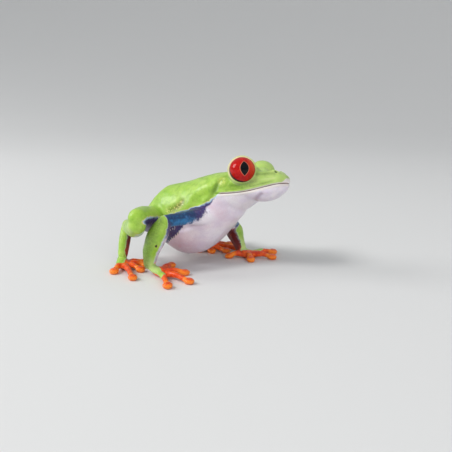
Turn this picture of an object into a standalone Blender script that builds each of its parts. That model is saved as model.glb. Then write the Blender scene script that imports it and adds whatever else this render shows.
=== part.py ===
"""Red-eyed tree frog, life size, at rest on its hands and feet.

Metres, +Z up, +X forward, +Y to the frog's left.

The body is modelled whole from smooth lofts and parted by thin cuts. Sizes below are in millimetres.
"""

import math

import bmesh
import bpy
from mathutils import Matrix, Vector

MM = 0.001
GAP = 0.3  # clearance between neighbouring nodes
SIDES = {"right": -1, "left": 1}

# Trunk sections from vent to neck: top x, top z, bottom x, bottom z, half width, roll in degrees.
TRUNK = (
    (-2.7, 18.4, -2.0, 14.2, 3.2, 0),
    (0.2, 22.4, 1.2, 9.8, 6.6, 0),
    (5.4, 27.1, 7.0, 5.4, 9.2, -1),
    (10.3, 28.5, 13.4, 2.9, 11.0, -2),
    (15.3, 29.8, 20.2, 3.8, 11.6, -3),
    (20.2, 31.5, 26.4, 8.2, 11.2, -4),
    (25.2, 32.7, 31.2, 13.6, 10.4, -6),
    (30.2, 33.0, 35.2, 18.2, 9.4, -9),
)
TRUNK_EXPONENT = 2.15
TRUNK_WAIST = 0.47  # height of the widest line, as a share of the section
RUMP_REACH = (-1.3, 0.2)  # x and z from the middle of the first section to the end of the rump
NECK_REACH = (2.0, 0.8)  # the same from the middle of the last section to the trunk's front end

# Head frame: origin midway between the eyes, u forward, v left, w up.
HEAD_AT = (39.1, 0.0, 33.85)
HEAD_PITCH = 14
HEAD_ROLL = -11
HEAD_YAW = -4
# Head sections from nape to snout: u, top w, bottom w, half width, height of the widest line.
HEAD = (
    (-19.5, 0.6, -12.0, 8.6, -5.4),
    (-15.0, 1.8, -14.2, 9.7, -5.4),
    (-11.0, 1.9, -13.9, 10.0, -5.3),
    (-7.0, 1.5, -12.6, 9.9, -5.2),
    (-3.0, 0.9, -11.1, 9.3, -5.1),
    (1.0, 0.2, -10.7, 8.3, -5.0),
    (5.0, -0.6, -10.2, 7.0, -5.0),
    (8.5, -1.3, -9.3, 5.5, -5.0),
    (10.8, -2.1, -8.4, 4.0, -5.1),
    (12.1, -3.5, -7.3, 2.1, -5.3),
)
HEAD_EXPONENT = 2.5
NAPE_REACH = 0.6  # how far the loft's ends lie beyond its first and last sections
SNOUT_REACH = 0.5
SNOUT_W = -5.7
MOUTH_W = -6.2
MOUTH_CORNER_U = -8.6
NECK_U = -11.8
MOUTH_SLIT = 0.3
LIP_BEAD = 0.42
LIP_RISE = 0.5  # height of the lip bead above the mouth
LIP_SINK = 0.2  # depth of the bead in the cheek
LIP_FRONT = 0.3  # how far the bead passes in front of the last head section
BROW_AT = (-1.8, 3.6, -1.3)
BROW_SIZE = (6.8, 4.2, 3.5)

EYE_RADIUS = 4.4
EYE_SPREAD = 7.6
LID_FORWARD = 13  # degrees that the opening of the lids turns forward of square to the side
LID_UP = 8
LID_REACH = 0.5  # how far the orbit's skin lies outside the socket
LID_EDGE = 1.1  # distance of the lids' rim from the eye's centre, along the opening's axis
LID_BEAD = 0.34

TYMPANUM_AT = (-7.2, -2.7)  # u and w on the side of the head
TYMPANUM_RADIUS = 1.7
TYMPANUM_BEAD = 0.34
TYMPANUM_FACING = (-0.12, 1.0, 0.18)  # direction that the left ear faces, in the head frame
NOSTRIL_AT = (9.9, 2.8, -2.2)
NOSTRIL_RADIUS = 0.42
# Fold from the rear of the eye over the ear to the shoulder, as u and w on the side of the head.
FOLD = ((-4.0, 0.2), (-7.4, -0.3), (-10.0, -1.6), (-10.9, -4.0), (-11.6, -6.8), (-12.6, -9.4))
FOLD_RADIUS = 0.9
FOLD_SINK = 0.35

# Limbs: x, y, z and radius of the flesh at each point.
UPPER_ARM = {
    "right": (
        (27.4, -5.6, 19.6, 4.6),
        (24.2, -10.4, 19.2, 3.1),
        (20.6, -15.2, 18.9, 2.3),
        (16.4, -20.0, 18.6, 2.1),
    ),
    "left": (
        (26.6, 5.6, 17.2, 4.6),
        (25.6, 10.6, 14.8, 3.2),
        (24.8, 15.0, 12.4, 2.4),
        (23.6, 18.6, 10.4, 2.2),
    ),
}
FOREARM = {
    "right": (
        (15.8, -21.2, 18.0, 2.5),
        (13.8, -22.4, 13.8, 3.2),
        (11.8, -23.2, 8.6, 2.9),
        (11.0, -23.4, 4.0, 2.1),
    ),
    "left": (
        (23.5, 19.2, 9.8, 2.6),
        (25.0, 17.0, 8.4, 3.1),
        (27.4, 14.0, 6.4, 2.7),
        (29.6, 12.0, 3.7, 2.1),
    ),
}
# Hands and feet: wrist or ankle, middle of the palm or sole, and each digit's tip from inner to outer.
HAND = {
    "right": {
        "wrist": (11.8, -23.2, 2.6),
        "palm": (14.6, -23.0, 1.6),
        "tips": ((13.4, -12.0, 1.0), (22.8, -18.6, 1.0), (28.8, -27.2, 1.0), (24.4, -34.4, 1.0)),
    },
    "left": {
        "wrist": (30.4, 11.6, 2.6),
        "palm": (32.8, 11.4, 1.6),
        "tips": ((26.4, 7.2, 1.0), (36.6, 5.6, 1.0), (43.0, 12.6, 1.0), (40.4, 20.6, 1.0)),
    },
}
THIGH = {
    "right": (
        (3.4, -2.6, 15.4, 5.0),
        (5.2, -12.0, 16.6, 4.5),
        (7.4, -20.4, 19.0, 3.9),
        (8.8, -26.2, 20.0, 3.4),
    ),
    "left": (
        (2.6, 3.4, 15.8, 5.0),
        (8.0, 11.6, 15.4, 4.6),
        (13.6, 17.2, 14.2, 3.9),
        (17.4, 20.6, 13.2, 3.4),
    ),
}
SHANK = {
    "right": (
        (8.6, -26.6, 17.6, 3.0),
        (5.2, -22.6, 15.6, 3.0),
        (-0.2, -17.0, 14.4, 2.7),
        (-4.2, -12.8, 14.0, 2.1),
    ),
    "left": (
        (17.4, 21.6, 11.0, 3.2),
        (11.0, 20.4, 9.0, 3.3),
        (2.6, 17.2, 7.6, 2.8),
        (-4.8, 14.0, 7.4, 1.9),
    ),
}
TARSUS = {
    "right": ((-4.4, -13.2, 13.0, 2.0), (-4.2, -15.2, 8.6, 2.1), (-3.8, -17.2, 4.3, 1.8)),
    "left": ((-5.2, 14.2, 6.6, 1.9), (0.4, 15.2, 4.6, 1.8), (5.6, 16.0, 3.0, 1.7)),
}
FOOT = {
    "right": {
        "wrist": (-3.8, -17.9, 2.4),
        "palm": (-2.2, -19.6, 1.6),
        "tips": (
            (2.2, -12.8, 1.0),
            (5.8, -16.2, 1.0),
            (7.0, -22.0, 1.0),
            (9.6, -31.4, 1.0),
            (-0.6, -28.0, 1.0),
        ),
    },
    "left": {
        "wrist": (6.6, 16.2, 2.2),
        "palm": (9.6, 16.6, 1.5),
        "tips": (
            (13.0, 10.6, 1.0),
            (18.4, 11.2, 1.0),
            (23.6, 14.0, 1.0),
            (27.8, 19.4, 1.0),
            (20.2, 25.0, 1.0),
        ),
    },
}
WRIST_RADIUS = 1.8
PALM_RADIUS = 2.7
PALM_FLATTEN = 0.55
DIGIT_ROOT = 1.25
DIGIT_NECK = 0.98
DIGIT_START = 0.5  # where a digit starts, as a share of the palm's radius from its middle
DIGIT_ROOT_Z = 1.2
DIGIT_MIDDLE = 0.55  # shares of the digit's length at its arch and where the pad starts
DIGIT_END = 0.85
DIGIT_ARCH = 0.7  # rise of a digit's middle above its ends
PAD_RADIUS = 1.8
PAD_LENGTHEN = 1.12
PAD_FLATTEN = 0.64
PAD_BACK = 0.4  # how far the pad's middle lies behind the digit's tip, in pad radii
WEB_THICK = 0.6
WEB_HOLLOW = 0.92
WEB_STEP = 0.06  # each web is a little thicker than the last, so that no two share an edge
WEB_SHARE = 0.42  # how far out along the digits the web reaches
SOLE_SINK = 0.15  # depth of the pads below the floor line before the flats are cut

# Spans between the rows above, and the faces round each form.
BODY_STEPS = 2
BODY_SEGMENTS = 28
EYE_SEGMENTS = 24
EYE_RINGS = 14
BROW_SEGMENTS = 16
BROW_RINGS = 10
LID_SEGMENTS = 26
LID_SIDES = 6
TYMPANUM_SEGMENTS = 16
TYMPANUM_SIDES = 5
STRIP_STEPS = 2
LIP_SIDES = 6
FOLD_SIDES = 8
NOSTRIL_SEGMENTS = 10
NOSTRIL_RINGS = 6
LIMB_STEPS = 2
LIMB_SEGMENTS = 12
PALM_STEPS = 3
DIGIT_STEPS = 2
DIGIT_SEGMENTS = 7
PAD_SEGMENTS = 10
PAD_RINGS = 6
CAP_STEPS = 2
FAR = 90  # reach of the cutting boxes, well past the body

GREEN = (0.30, 0.62, 0.03)
ORANGE = (0.92, 0.22, 0.02)
PALE = (0.80, 0.72, 0.80)
RED = (0.62, 0.01, 0.01)
SKIN_ROUGHNESS = 0.35
EYE_ROUGHNESS = 0.1


def clear_scene():
    for obj in list(bpy.data.objects):
        bpy.data.objects.remove(obj, do_unlink=True)


def material(name, colour, roughness):
    made = bpy.data.materials.new(name)
    made.use_nodes = True
    shader = made.node_tree.nodes["Principled BSDF"]
    shader.inputs["Base Color"].default_value = (*colour, 1)
    shader.inputs["Roughness"].default_value = roughness
    shader.inputs["Metallic"].default_value = 0
    return made


def head_frame():
    turn = Matrix.Rotation(math.radians(HEAD_YAW), 4, "Z")
    turn @= Matrix.Rotation(math.radians(-HEAD_PITCH), 4, "Y")
    turn @= Matrix.Rotation(math.radians(HEAD_ROLL), 4, "X")
    return Matrix.Translation(Vector(HEAD_AT)) @ turn


def eye_centre(side):
    return head_frame() @ Vector((0, SIDES[side] * EYE_SPREAD, 0))


def lid_axis(side):
    """Direction that the opening of the lids faces."""
    forward = math.radians(LID_FORWARD)
    up = math.radians(LID_UP)
    out = math.cos(forward) * math.cos(up)
    local = Vector((math.sin(forward) * math.cos(up), SIDES[side] * out, math.sin(up)))
    return (head_frame().to_3x3() @ local).normalized()


def spline(rows, steps):
    """Catmull-Rom curve through rows of numbers, with steps spans between neighbouring rows."""
    rows = [Vector(row) for row in rows]
    ends = [2 * rows[0] - rows[1]] + rows + [2 * rows[-1] - rows[-2]]
    made = []
    for a, b, c, d in zip(ends, ends[1:], ends[2:], ends[3:]):
        for step in range(steps):
            t = step / steps
            square = 2 * a - 5 * b + 4 * c - d
            cube = 3 * b - a - 3 * c + d
            made.append(0.5 * (2 * b + (c - a) * t + square * t**2 + cube * t**3))
    return made + [rows[-1]]


def swell(value, power):
    return math.copysign(abs(value) ** power, value)


def oval(centre, side, up, half_width, rise, drop, exponent, segments):
    """Ring of points with its own reach upward and downward from the widest line."""
    power = 2 / exponent
    ring = []
    for index in range(segments):
        angle = math.tau * index / segments
        across = swell(math.cos(angle), power) * half_width
        along = swell(math.sin(angle), power)
        ring.append(centre + side * across + up * along * (rise if along > 0 else drop))
    return ring


def skin_over(name, rings, first_pole, last_pole):
    """Closed mesh over rings of equal count, with a pole at each end."""
    mesh_maker = bmesh.new()
    loops = [[mesh_maker.verts.new(point * MM) for point in ring] for ring in rings]
    for near, far in zip(loops, loops[1:]):
        for index in range(len(near)):
            following = (index + 1) % len(near)
            mesh_maker.faces.new((near[index], near[following], far[following], far[index]))
    for ring, pole in ((loops[0], first_pole), (loops[-1], last_pole)):
        tip = mesh_maker.verts.new(pole * MM)
        for index in range(len(ring)):
            mesh_maker.faces.new((ring[index], ring[(index + 1) % len(ring)], tip))
    bmesh.ops.recalc_face_normals(mesh_maker, faces=mesh_maker.faces)
    bmesh.ops.triangulate(mesh_maker, faces=mesh_maker.faces)
    return finish(name, mesh_maker)


def finish(name, mesh_maker):
    mesh = bpy.data.meshes.new(name)
    mesh_maker.to_mesh(mesh)
    mesh_maker.free()
    mesh.shade_smooth()
    made = bpy.data.objects.new(name, mesh)
    bpy.context.scene.collection.objects.link(made)
    return made


def trunk(grow=0.0):
    rings = []
    for top_x, top_z, low_x, low_z, half_width, roll in spline(TRUNK, BODY_STEPS):
        top = Vector((top_x, 0, top_z))
        low = Vector((low_x, 0, low_z))
        centre = low.lerp(top, TRUNK_WAIST)
        up = (top - low).normalized()
        turn = Matrix.Rotation(math.radians(roll), 3, up.cross(Vector((0, 1, 0))))
        rise = (top - centre).length + grow
        drop = (centre - low).length + grow
        side = turn @ Vector((0, 1, 0))
        width = half_width + grow
        rings.append(oval(centre, side, turn @ up, width, rise, drop, TRUNK_EXPONENT, BODY_SEGMENTS))
    middles = [sum(ring, Vector()) / len(ring) for ring in (rings[0], rings[-1])]
    rear = middles[0] + Vector((RUMP_REACH[0] - grow, 0, RUMP_REACH[1]))
    front = middles[1] + Vector((NECK_REACH[0] + grow, 0, NECK_REACH[1]))
    return skin_over("trunk", rings, rear, front)


def head_loft():
    frame = head_frame()
    side = frame.to_3x3() @ Vector((0, 1, 0))
    up = frame.to_3x3() @ Vector((0, 0, 1))
    rings = []
    for u, top, bottom, half_width, waist in spline(HEAD, BODY_STEPS):
        centre = frame @ Vector((u, 0, waist))
        rise = top - waist
        drop = waist - bottom
        rings.append(oval(centre, side, up, half_width, rise, drop, HEAD_EXPONENT, BODY_SEGMENTS))
    nape = frame @ Vector((HEAD[0][0] - NAPE_REACH, 0, HEAD[0][4]))
    snout = frame @ Vector((HEAD[-1][0] + SNOUT_REACH, 0, SNOUT_W))
    return skin_over("head", rings, nape, snout)


def tube(name, points, segments, steps, grow=0.0, flatten=1.0, upright=Vector((0, 0, 1))):
    """Round-ended tube through points of x, y, z and radius, which flatten makes thinner along upright."""
    rows = spline(points, steps)
    centres = [Vector(row[:3]) for row in rows]
    radii = [row[3] + grow for row in rows]
    rings = []
    side = None
    last = len(rows) - 1
    for index, centre in enumerate(centres):
        along = (centres[min(index + 1, last)] - centres[max(index - 1, 0)]).normalized()
        if side is None:
            side = along.cross(upright)
            side = side if side.length > 0.1 else along.cross(Vector((0, 1, 0)))
        side = (side - along * side.dot(along)).normalized()
        up = side.cross(along)
        if index == 0:
            for step in range(CAP_STEPS - 1, 0, -1):
                lean = math.pi / 2 * step / CAP_STEPS
                size = radii[0] * math.cos(lean)
                at = centre - along * radii[0] * math.sin(lean)
                rings.append(oval(at, side, up, size, size * flatten, size * flatten, 2, segments))
            first_pole = centre - along * radii[0]
        size = radii[index]
        rings.append(oval(centre, side, up, size, size * flatten, size * flatten, 2, segments))
        if index == last:
            for step in range(1, CAP_STEPS):
                lean = math.pi / 2 * step / CAP_STEPS
                size = radii[last] * math.cos(lean)
                at = centre + along * radii[last] * math.sin(lean)
                rings.append(oval(at, side, up, size, size * flatten, size * flatten, 2, segments))
            last_pole = centre + along * radii[last]
    return skin_over(name, rings, first_pole, last_pole)


def ball(name, centre, radius, segments, rings, stretch=(1, 1, 1), turn=None):
    mesh_maker = bmesh.new()
    place = Matrix.Translation(Vector(centre) * MM)
    if turn is not None:
        place @= turn.to_4x4()
    place @= Matrix.Diagonal((*stretch, 1))
    bmesh.ops.create_uvsphere(
        mesh_maker, u_segments=segments, v_segments=rings, radius=radius * MM, matrix=place
    )
    bmesh.ops.triangulate(mesh_maker, faces=mesh_maker.faces)
    return finish(name, mesh_maker)


def torus(name, centre, axis, radius, thickness, segments, sides):
    turn = axis.to_track_quat("Z", "Y").to_matrix()
    rings = []
    for index in range(segments):
        angle = math.tau * index / segments
        out = turn @ Vector((math.cos(angle), math.sin(angle), 0))
        ring = []
        for step in range(sides):
            lean = math.tau * step / sides
            across = radius + thickness * math.cos(lean)
            ring.append(centre + out * across + axis * thickness * math.sin(lean))
        rings.append(ring)
    mesh_maker = bmesh.new()
    loops = [[mesh_maker.verts.new(point * MM) for point in ring] for ring in rings]
    for index, near in enumerate(loops):
        far = loops[(index + 1) % segments]
        for step in range(sides):
            following = (step + 1) % sides
            mesh_maker.faces.new((near[step], near[following], far[following], far[step]))
    bmesh.ops.recalc_face_normals(mesh_maker, faces=mesh_maker.faces)
    bmesh.ops.triangulate(mesh_maker, faces=mesh_maker.faces)
    return finish(name, mesh_maker)


def block(name, centre, size, turn=None):
    mesh_maker = bmesh.new()
    place = Matrix.Translation(Vector(centre) * MM)
    if turn is not None:
        place @= turn.to_4x4()
    place @= Matrix.Diagonal((*(Vector(size) * MM), 1))
    bmesh.ops.create_cube(mesh_maker, size=1, matrix=place)
    bmesh.ops.triangulate(mesh_maker, faces=mesh_maker.faces)
    return finish(name, mesh_maker)


def combine(base, others, operation):
    """Applies one Boolean of base with a collection of closed meshes, which are then removed."""
    group = bpy.data.collections.new("operands")
    for other in others:
        group.objects.link(other)
    modifier = base.modifiers.new("combine", "BOOLEAN")
    modifier.operation = operation
    modifier.operand_type = "COLLECTION"
    modifier.collection = group
    modifier.solver = "MANIFOLD"
    graph = bpy.context.evaluated_depsgraph_get()
    mesh = bpy.data.meshes.new_from_object(base.evaluated_get(graph))
    base.modifiers.clear()
    base.data = mesh
    for other in others:
        bpy.data.objects.remove(other, do_unlink=True)
    bpy.data.collections.remove(group)
    return base


def union(name, pieces):
    base = pieces[0]
    base.name = name
    return combine(base, pieces[1:], "UNION") if len(pieces) > 1 else base


def copy_of(obj, name):
    made = obj.copy()
    made.data = obj.data.copy()
    made.name = name
    bpy.context.scene.collection.objects.link(made)
    return made


def keep_largest(obj):
    """Leaves only the largest closed surface of the mesh."""
    mesh_maker = bmesh.new()
    mesh_maker.from_mesh(obj.data)
    left = set(mesh_maker.verts)
    shells = []
    while left:
        shell = set()
        front = [left.pop()]
        while front:
            vert = front.pop()
            shell.add(vert)
            for edge in vert.link_edges:
                other = edge.other_vert(vert)
                if other in left:
                    left.remove(other)
                    front.append(other)
        shells.append(shell)
    shells.sort(key=len)
    for shell in shells[:-1]:
        bmesh.ops.delete(mesh_maker, geom=list(shell), context="VERTS")
    mesh_maker.to_mesh(obj.data)
    mesh_maker.free()
    return obj


def orbit(side):
    """Skin dome over the eye, cut open in front of the lid's rim."""
    centre = eye_centre(side)
    axis = lid_axis(side)
    reach = EYE_RADIUS + GAP + LID_REACH
    dome = ball("orbit", centre, reach, EYE_SEGMENTS, EYE_RINGS)
    turn = axis.to_track_quat("Z", "Y").to_matrix()
    size = 4 * reach
    opening = block("opening", centre + axis * (LID_EDGE + size / 2), (size, size, size), turn)
    return combine(dome, [opening], "DIFFERENCE")


def head_strip(name, points, radius, sides):
    """Round strip through points of the head frame."""
    frame = head_frame()
    placed = [(*(frame @ Vector(point)), radius) for point in points]
    return tube(name, placed, sides, STRIP_STEPS)


def cheek(u, w):
    """Distance of the head's side from its middle plane."""
    for row, following in zip(HEAD, HEAD[1:]):
        if row[0] <= u <= following[0]:
            share = (u - row[0]) / (following[0] - row[0])
            _, top, bottom, half_width, waist = Vector(row).lerp(Vector(following), share)
            height = (w - waist) / (top - waist if w > waist else waist - bottom)
            return half_width * (1 - abs(height) ** HEAD_EXPONENT) ** (1 / HEAD_EXPONENT)
    raise ValueError("u lies off the head")


def lip():
    """Bead of the upper lip, from one corner of the mouth round the snout to the other."""
    rows = [row for row in HEAD if row[0] > MOUTH_CORNER_U]
    half = [(row[0], cheek(row[0], MOUTH_W + LIP_RISE) - LIP_SINK, MOUTH_W + LIP_RISE) for row in rows]
    snout = (HEAD[-1][0] + LIP_FRONT, 0, MOUTH_W + LIP_RISE)
    other_half = [(u, -v, w) for u, v, w in reversed(half)]
    return head_strip("lip", half + [snout] + other_half, LIP_BEAD, LIP_SIDES)


def brow(side):
    """Fullness between the crown and the eye."""
    u, v, w = BROW_AT
    frame = head_frame()
    centre = frame @ Vector((u, SIDES[side] * v, w))
    return ball("brow", centre, 1, BROW_SEGMENTS, BROW_RINGS, BROW_SIZE, frame.to_3x3())


def lid(side):
    """Bead round the opening of the lids."""
    axis = lid_axis(side)
    rim = math.sqrt((EYE_RADIUS + GAP + LID_REACH / 2) ** 2 - LID_EDGE**2)
    return torus("lid", eye_centre(side) + axis * LID_EDGE, axis, rim, LID_BEAD, LID_SEGMENTS, LID_SIDES)


def ear(side):
    """Bead round the eardrum."""
    frame = head_frame()
    u, w = TYMPANUM_AT
    centre = frame @ Vector((u, SIDES[side] * cheek(u, w), w))
    back, out, up = TYMPANUM_FACING
    axis = (frame.to_3x3() @ Vector((back, SIDES[side] * out, up))).normalized()
    return torus("ear", centre, axis, TYMPANUM_RADIUS, TYMPANUM_BEAD, TYMPANUM_SEGMENTS, TYMPANUM_SIDES)


def fold(side):
    """Fold of skin from the eye over the ear to the shoulder."""
    line = [(u, SIDES[side] * (cheek(u, w) - FOLD_SINK), w) for u, w in FOLD]
    return head_strip("fold", line, FOLD_RADIUS, FOLD_SIDES)


def whole_body():
    """Trunk and head as one solid, with sockets and nostrils."""
    frame = head_frame()
    pieces = [trunk(), head_loft(), lip()]
    cutters = []
    for side, sign in SIDES.items():
        pieces += [orbit(side), brow(side), lid(side), ear(side), fold(side)]
        cutters.append(ball("socket", eye_centre(side), EYE_RADIUS + GAP, EYE_SEGMENTS, EYE_RINGS))
        u, v, w = NOSTRIL_AT
        nostril_at = frame @ Vector((u, sign * v, w))
        cutters.append(ball("nostril", nostril_at, NOSTRIL_RADIUS, NOSTRIL_SEGMENTS, NOSTRIL_RINGS))
    return combine(union("body", pieces), cutters, "DIFFERENCE")


def head_box(name, low, high):
    """Box between two corners of the head frame."""
    frame = head_frame()
    low = Vector(low)
    high = Vector(high)
    return block(name, frame @ ((low + high) / 2), high - low, frame.to_3x3())


def part_body():
    """Parts the body with thin cuts into torso, head and lower jaw."""
    body = whole_body()
    half = GAP / 2
    front = head_box("front", (NECK_U + half, -FAR, -FAR), (FAR, FAR, FAR))
    head = combine(copy_of(body, "head"), [front], "INTERSECT")
    front = head_box("front", (NECK_U - half, -FAR, -FAR), (FAR, FAR, FAR))
    torso = combine(body, [front], "DIFFERENCE")
    torso.name = "torso"
    below = head_box("below", (-FAR, -FAR, -FAR), (FAR, FAR, MOUTH_W - MOUTH_SLIT / 2))
    jaw = combine(copy_of(head, "lower_jaw"), [below], "INTERSECT")
    below = head_box("below", (-FAR, -FAR, -FAR), (FAR, FAR, MOUTH_W + MOUTH_SLIT / 2))
    combine(head, [below], "DIFFERENCE")
    return torso, head, jaw


def digit(root, tip, grow=0.0):
    """Finger or toe from the palm to its round pad."""
    root = Vector(root)
    tip = Vector(tip)
    middle = root.lerp(tip, DIGIT_MIDDLE)
    middle.z += DIGIT_ARCH
    neck = root.lerp(tip, DIGIT_END)
    line = [(*root, DIGIT_ROOT), (*middle, DIGIT_NECK), (*neck, DIGIT_NECK)]
    shaft = tube("shaft", line, DIGIT_SEGMENTS, DIGIT_STEPS, grow)
    along = (tip - root).normalized()
    side = along.cross(Vector((0, 0, 1))).normalized()
    turn = Matrix((along, side, along.cross(side))).transposed()
    centre = tip - along * PAD_RADIUS * PAD_BACK
    stretch = (PAD_LENGTHEN, 1, PAD_FLATTEN)
    pad = ball("pad", centre, PAD_RADIUS + grow, PAD_SEGMENTS, PAD_RINGS, stretch, turn)
    return [shaft, pad]


def web(root, first_tip, second_tip, thick):
    """Thin skin between two neighbouring digits."""
    root = Vector(root)
    mesh_maker = bmesh.new()
    corners = [root, root.lerp(Vector(first_tip), WEB_SHARE), root.lerp(Vector(second_tip), WEB_SHARE)]
    corners.append(root.lerp((corners[1] + corners[2]) / 2, WEB_HOLLOW))
    for corner in corners:
        for lift in (-thick / 2, thick / 2):
            mesh_maker.verts.new((corner + Vector((0, 0, lift))) * MM)
    bmesh.ops.convex_hull(mesh_maker, input=mesh_maker.verts)
    bmesh.ops.recalc_face_normals(mesh_maker, faces=mesh_maker.faces)
    return finish("web", mesh_maker)


def paw(plan, grow=0.0):
    """Palm or sole with its digits, webs and pads."""
    palm = Vector(plan["palm"])
    line = [(*plan["wrist"], WRIST_RADIUS), (*palm, PALM_RADIUS)]
    pieces = [tube("palm", line, LIMB_SEGMENTS, PALM_STEPS, grow, PALM_FLATTEN)]
    tips = [Vector(tip) - Vector((0, 0, SOLE_SINK)) for tip in plan["tips"]]
    for tip in tips:
        root = palm + (tip - palm).normalized() * PALM_RADIUS * DIGIT_START
        root.z = DIGIT_ROOT_Z
        pieces += digit(root, tip, grow)
    for index, (first, second) in enumerate(zip(tips, tips[1:])):
        pieces.append(web(palm, first, second, WEB_THICK + WEB_STEP * index))
    return pieces


def limb(points, grow=0.0):
    return [tube("limb", points, LIMB_SEGMENTS, LIMB_STEPS, grow)]


def near(first, second):
    """True where the boxes round two objects meet."""
    boxes = []
    for obj in (first, second):
        corners = [vertex.co for vertex in obj.data.vertices]
        boxes.append([(min(c[axis] for c in corners), max(c[axis] for c in corners)) for axis in range(3)])
    return all(a[0] < b[1] and b[0] < a[1] for a, b in zip(*boxes))


def carve(obj, cutters):
    """Cuts an object clear of grown neighbours and of all below the floor."""
    close = []
    for cutter in cutters:
        if near(obj, cutter):
            close.append(cutter)
        else:
            bpy.data.objects.remove(cutter, do_unlink=True)
    close.append(block("floor", (0, 0, -FAR / 2), (4 * FAR, 4 * FAR, FAR)))
    combine(obj, close, "DIFFERENCE")
    return keep_largest(obj)


def build_limbs(side, torso_cutter):
    """Each segment is cut clear of the grown forms that are named beside it."""
    chain = (
        ("upper_arm", UPPER_ARM[side], limb, ("torso",)),
        ("forearm", FOREARM[side], limb, ("torso", "upper_arm")),
        ("hand", HAND[side], paw, ("torso", "forearm")),
        ("thigh", THIGH[side], limb, ("torso", "upper_arm", "forearm")),
        ("shank", SHANK[side], limb, ("torso", "thigh", "forearm")),
        ("tarsus", TARSUS[side], limb, ("torso", "thigh", "shank")),
        ("foot", FOOT[side], paw, ("torso", "shank", "tarsus", "forearm")),
    )
    plans = {name: (plan, maker) for name, plan, maker, _ in chain}
    made = []
    for name, plan, maker, carriers in chain:
        obj = union(f"{name}_{side}", maker(plan))
        cutters = []
        for carrier in carriers:
            if carrier == "torso":
                cutters.append(copy_of(torso_cutter, "grown"))
            else:
                other_plan, other_maker = plans[carrier]
                cutters += other_maker(other_plan, GAP)
        made.append(carve(obj, cutters))
    return made


def settle(objects):
    """Sets the whole with the middle of its bounding box over the origin and its soles at the level z = 0."""
    points = [vertex.co for obj in objects for vertex in obj.data.vertices]
    low = Vector([min(point[axis] for point in points) for axis in range(3)])
    high = Vector([max(point[axis] for point in points) for axis in range(3)])
    shift = Matrix.Translation((-(low.x + high.x) / 2, -(low.y + high.y) / 2, -low.z))
    for obj in objects:
        obj.data.transform(shift)


def build():
    clear_scene()
    green = material("green_skin", GREEN, SKIN_ROUGHNESS)
    pale = material("pale_skin", PALE, SKIN_ROUGHNESS)
    orange = material("orange_skin", ORANGE, SKIN_ROUGHNESS)
    iris = material("iris_red", RED, EYE_ROUGHNESS)
    torso, head, jaw = part_body()
    torso_cutter = trunk(GAP)
    finishes = {keep_largest(torso): green, keep_largest(head): green, keep_largest(jaw): pale}
    for side in SIDES:
        finishes[ball(f"eye_{side}", eye_centre(side), EYE_RADIUS, EYE_SEGMENTS, EYE_RINGS)] = iris
        for obj in build_limbs(side, torso_cutter):
            finishes[obj] = orange if obj.name.startswith(("hand", "foot")) else green
    bpy.data.objects.remove(torso_cutter, do_unlink=True)
    settle(list(finishes))
    for obj, finish_material in finishes.items():
        obj.data.materials.clear()
        obj.data.materials.append(finish_material)
        obj.data.shade_smooth()


build()
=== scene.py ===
"""Looks of the red-eyed tree frog: one skin over all its flesh, two eyes, a pale floor, soft light and a camera.

Shapes are worked out in millimetres in the animal's own plan: x forward from the vent, y to its left, z above the
floor. They are moved to the frame and turned to metres at the end of each piece.
"""
import math

import bmesh
import bpy
import numpy as np
from mathutils import Matrix, Vector
from mathutils.bvhtree import BVHTree


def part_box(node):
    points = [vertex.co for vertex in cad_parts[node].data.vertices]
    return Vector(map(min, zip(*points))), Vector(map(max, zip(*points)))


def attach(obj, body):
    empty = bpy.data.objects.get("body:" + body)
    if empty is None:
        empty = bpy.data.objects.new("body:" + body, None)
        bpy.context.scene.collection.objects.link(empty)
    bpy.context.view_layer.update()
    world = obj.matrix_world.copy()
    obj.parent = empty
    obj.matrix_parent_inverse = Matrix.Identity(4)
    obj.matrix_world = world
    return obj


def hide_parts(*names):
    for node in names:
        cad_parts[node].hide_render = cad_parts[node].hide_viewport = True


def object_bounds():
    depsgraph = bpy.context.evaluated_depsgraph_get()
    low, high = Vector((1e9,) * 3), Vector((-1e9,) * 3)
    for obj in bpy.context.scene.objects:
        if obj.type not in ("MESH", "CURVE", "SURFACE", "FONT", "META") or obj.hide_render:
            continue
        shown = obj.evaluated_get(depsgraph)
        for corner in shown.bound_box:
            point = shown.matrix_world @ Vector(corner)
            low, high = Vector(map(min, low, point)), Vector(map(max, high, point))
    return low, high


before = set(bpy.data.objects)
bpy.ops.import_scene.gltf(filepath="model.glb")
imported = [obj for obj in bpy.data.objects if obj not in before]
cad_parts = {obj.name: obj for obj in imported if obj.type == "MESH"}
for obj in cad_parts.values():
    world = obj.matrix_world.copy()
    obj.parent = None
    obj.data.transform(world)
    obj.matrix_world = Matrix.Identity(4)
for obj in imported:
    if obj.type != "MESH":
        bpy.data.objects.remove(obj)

CAD_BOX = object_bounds()
MM = 0.001
SIDES = {"right": -1, "left": 1}
FLESH = [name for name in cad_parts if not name.startswith("eye_")]

# Trunk sections from vent to neck: top x, top z, bottom x, bottom z, half width, roll in degrees.
TRUNK = (
    (-2.7, 18.4, -2.0, 14.2, 3.2, 0),
    (0.2, 22.4, 1.2, 9.8, 6.6, 0),
    (5.4, 27.1, 7.0, 5.4, 9.2, -1),
    (10.3, 28.5, 13.4, 2.9, 11.0, -2),
    (15.3, 29.8, 20.2, 3.8, 11.6, -3),
    (20.2, 31.5, 26.4, 8.2, 11.2, -4),
    (25.2, 32.7, 31.2, 13.6, 10.4, -6),
    (30.2, 33.0, 35.2, 18.2, 9.4, -9),
)
TRUNK_EXPONENT = 2.15
TRUNK_WAIST = 0.47
RUMP_REACH = 1.3
NECK_REACH = 2.0

# Head frame: origin midway between the eyes, u forward, v left, w up.
HEAD_AT = (39.1, 0.0, 33.85)
HEAD_PITCH = 14
HEAD_ROLL = -11
HEAD_YAW = -4
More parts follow.
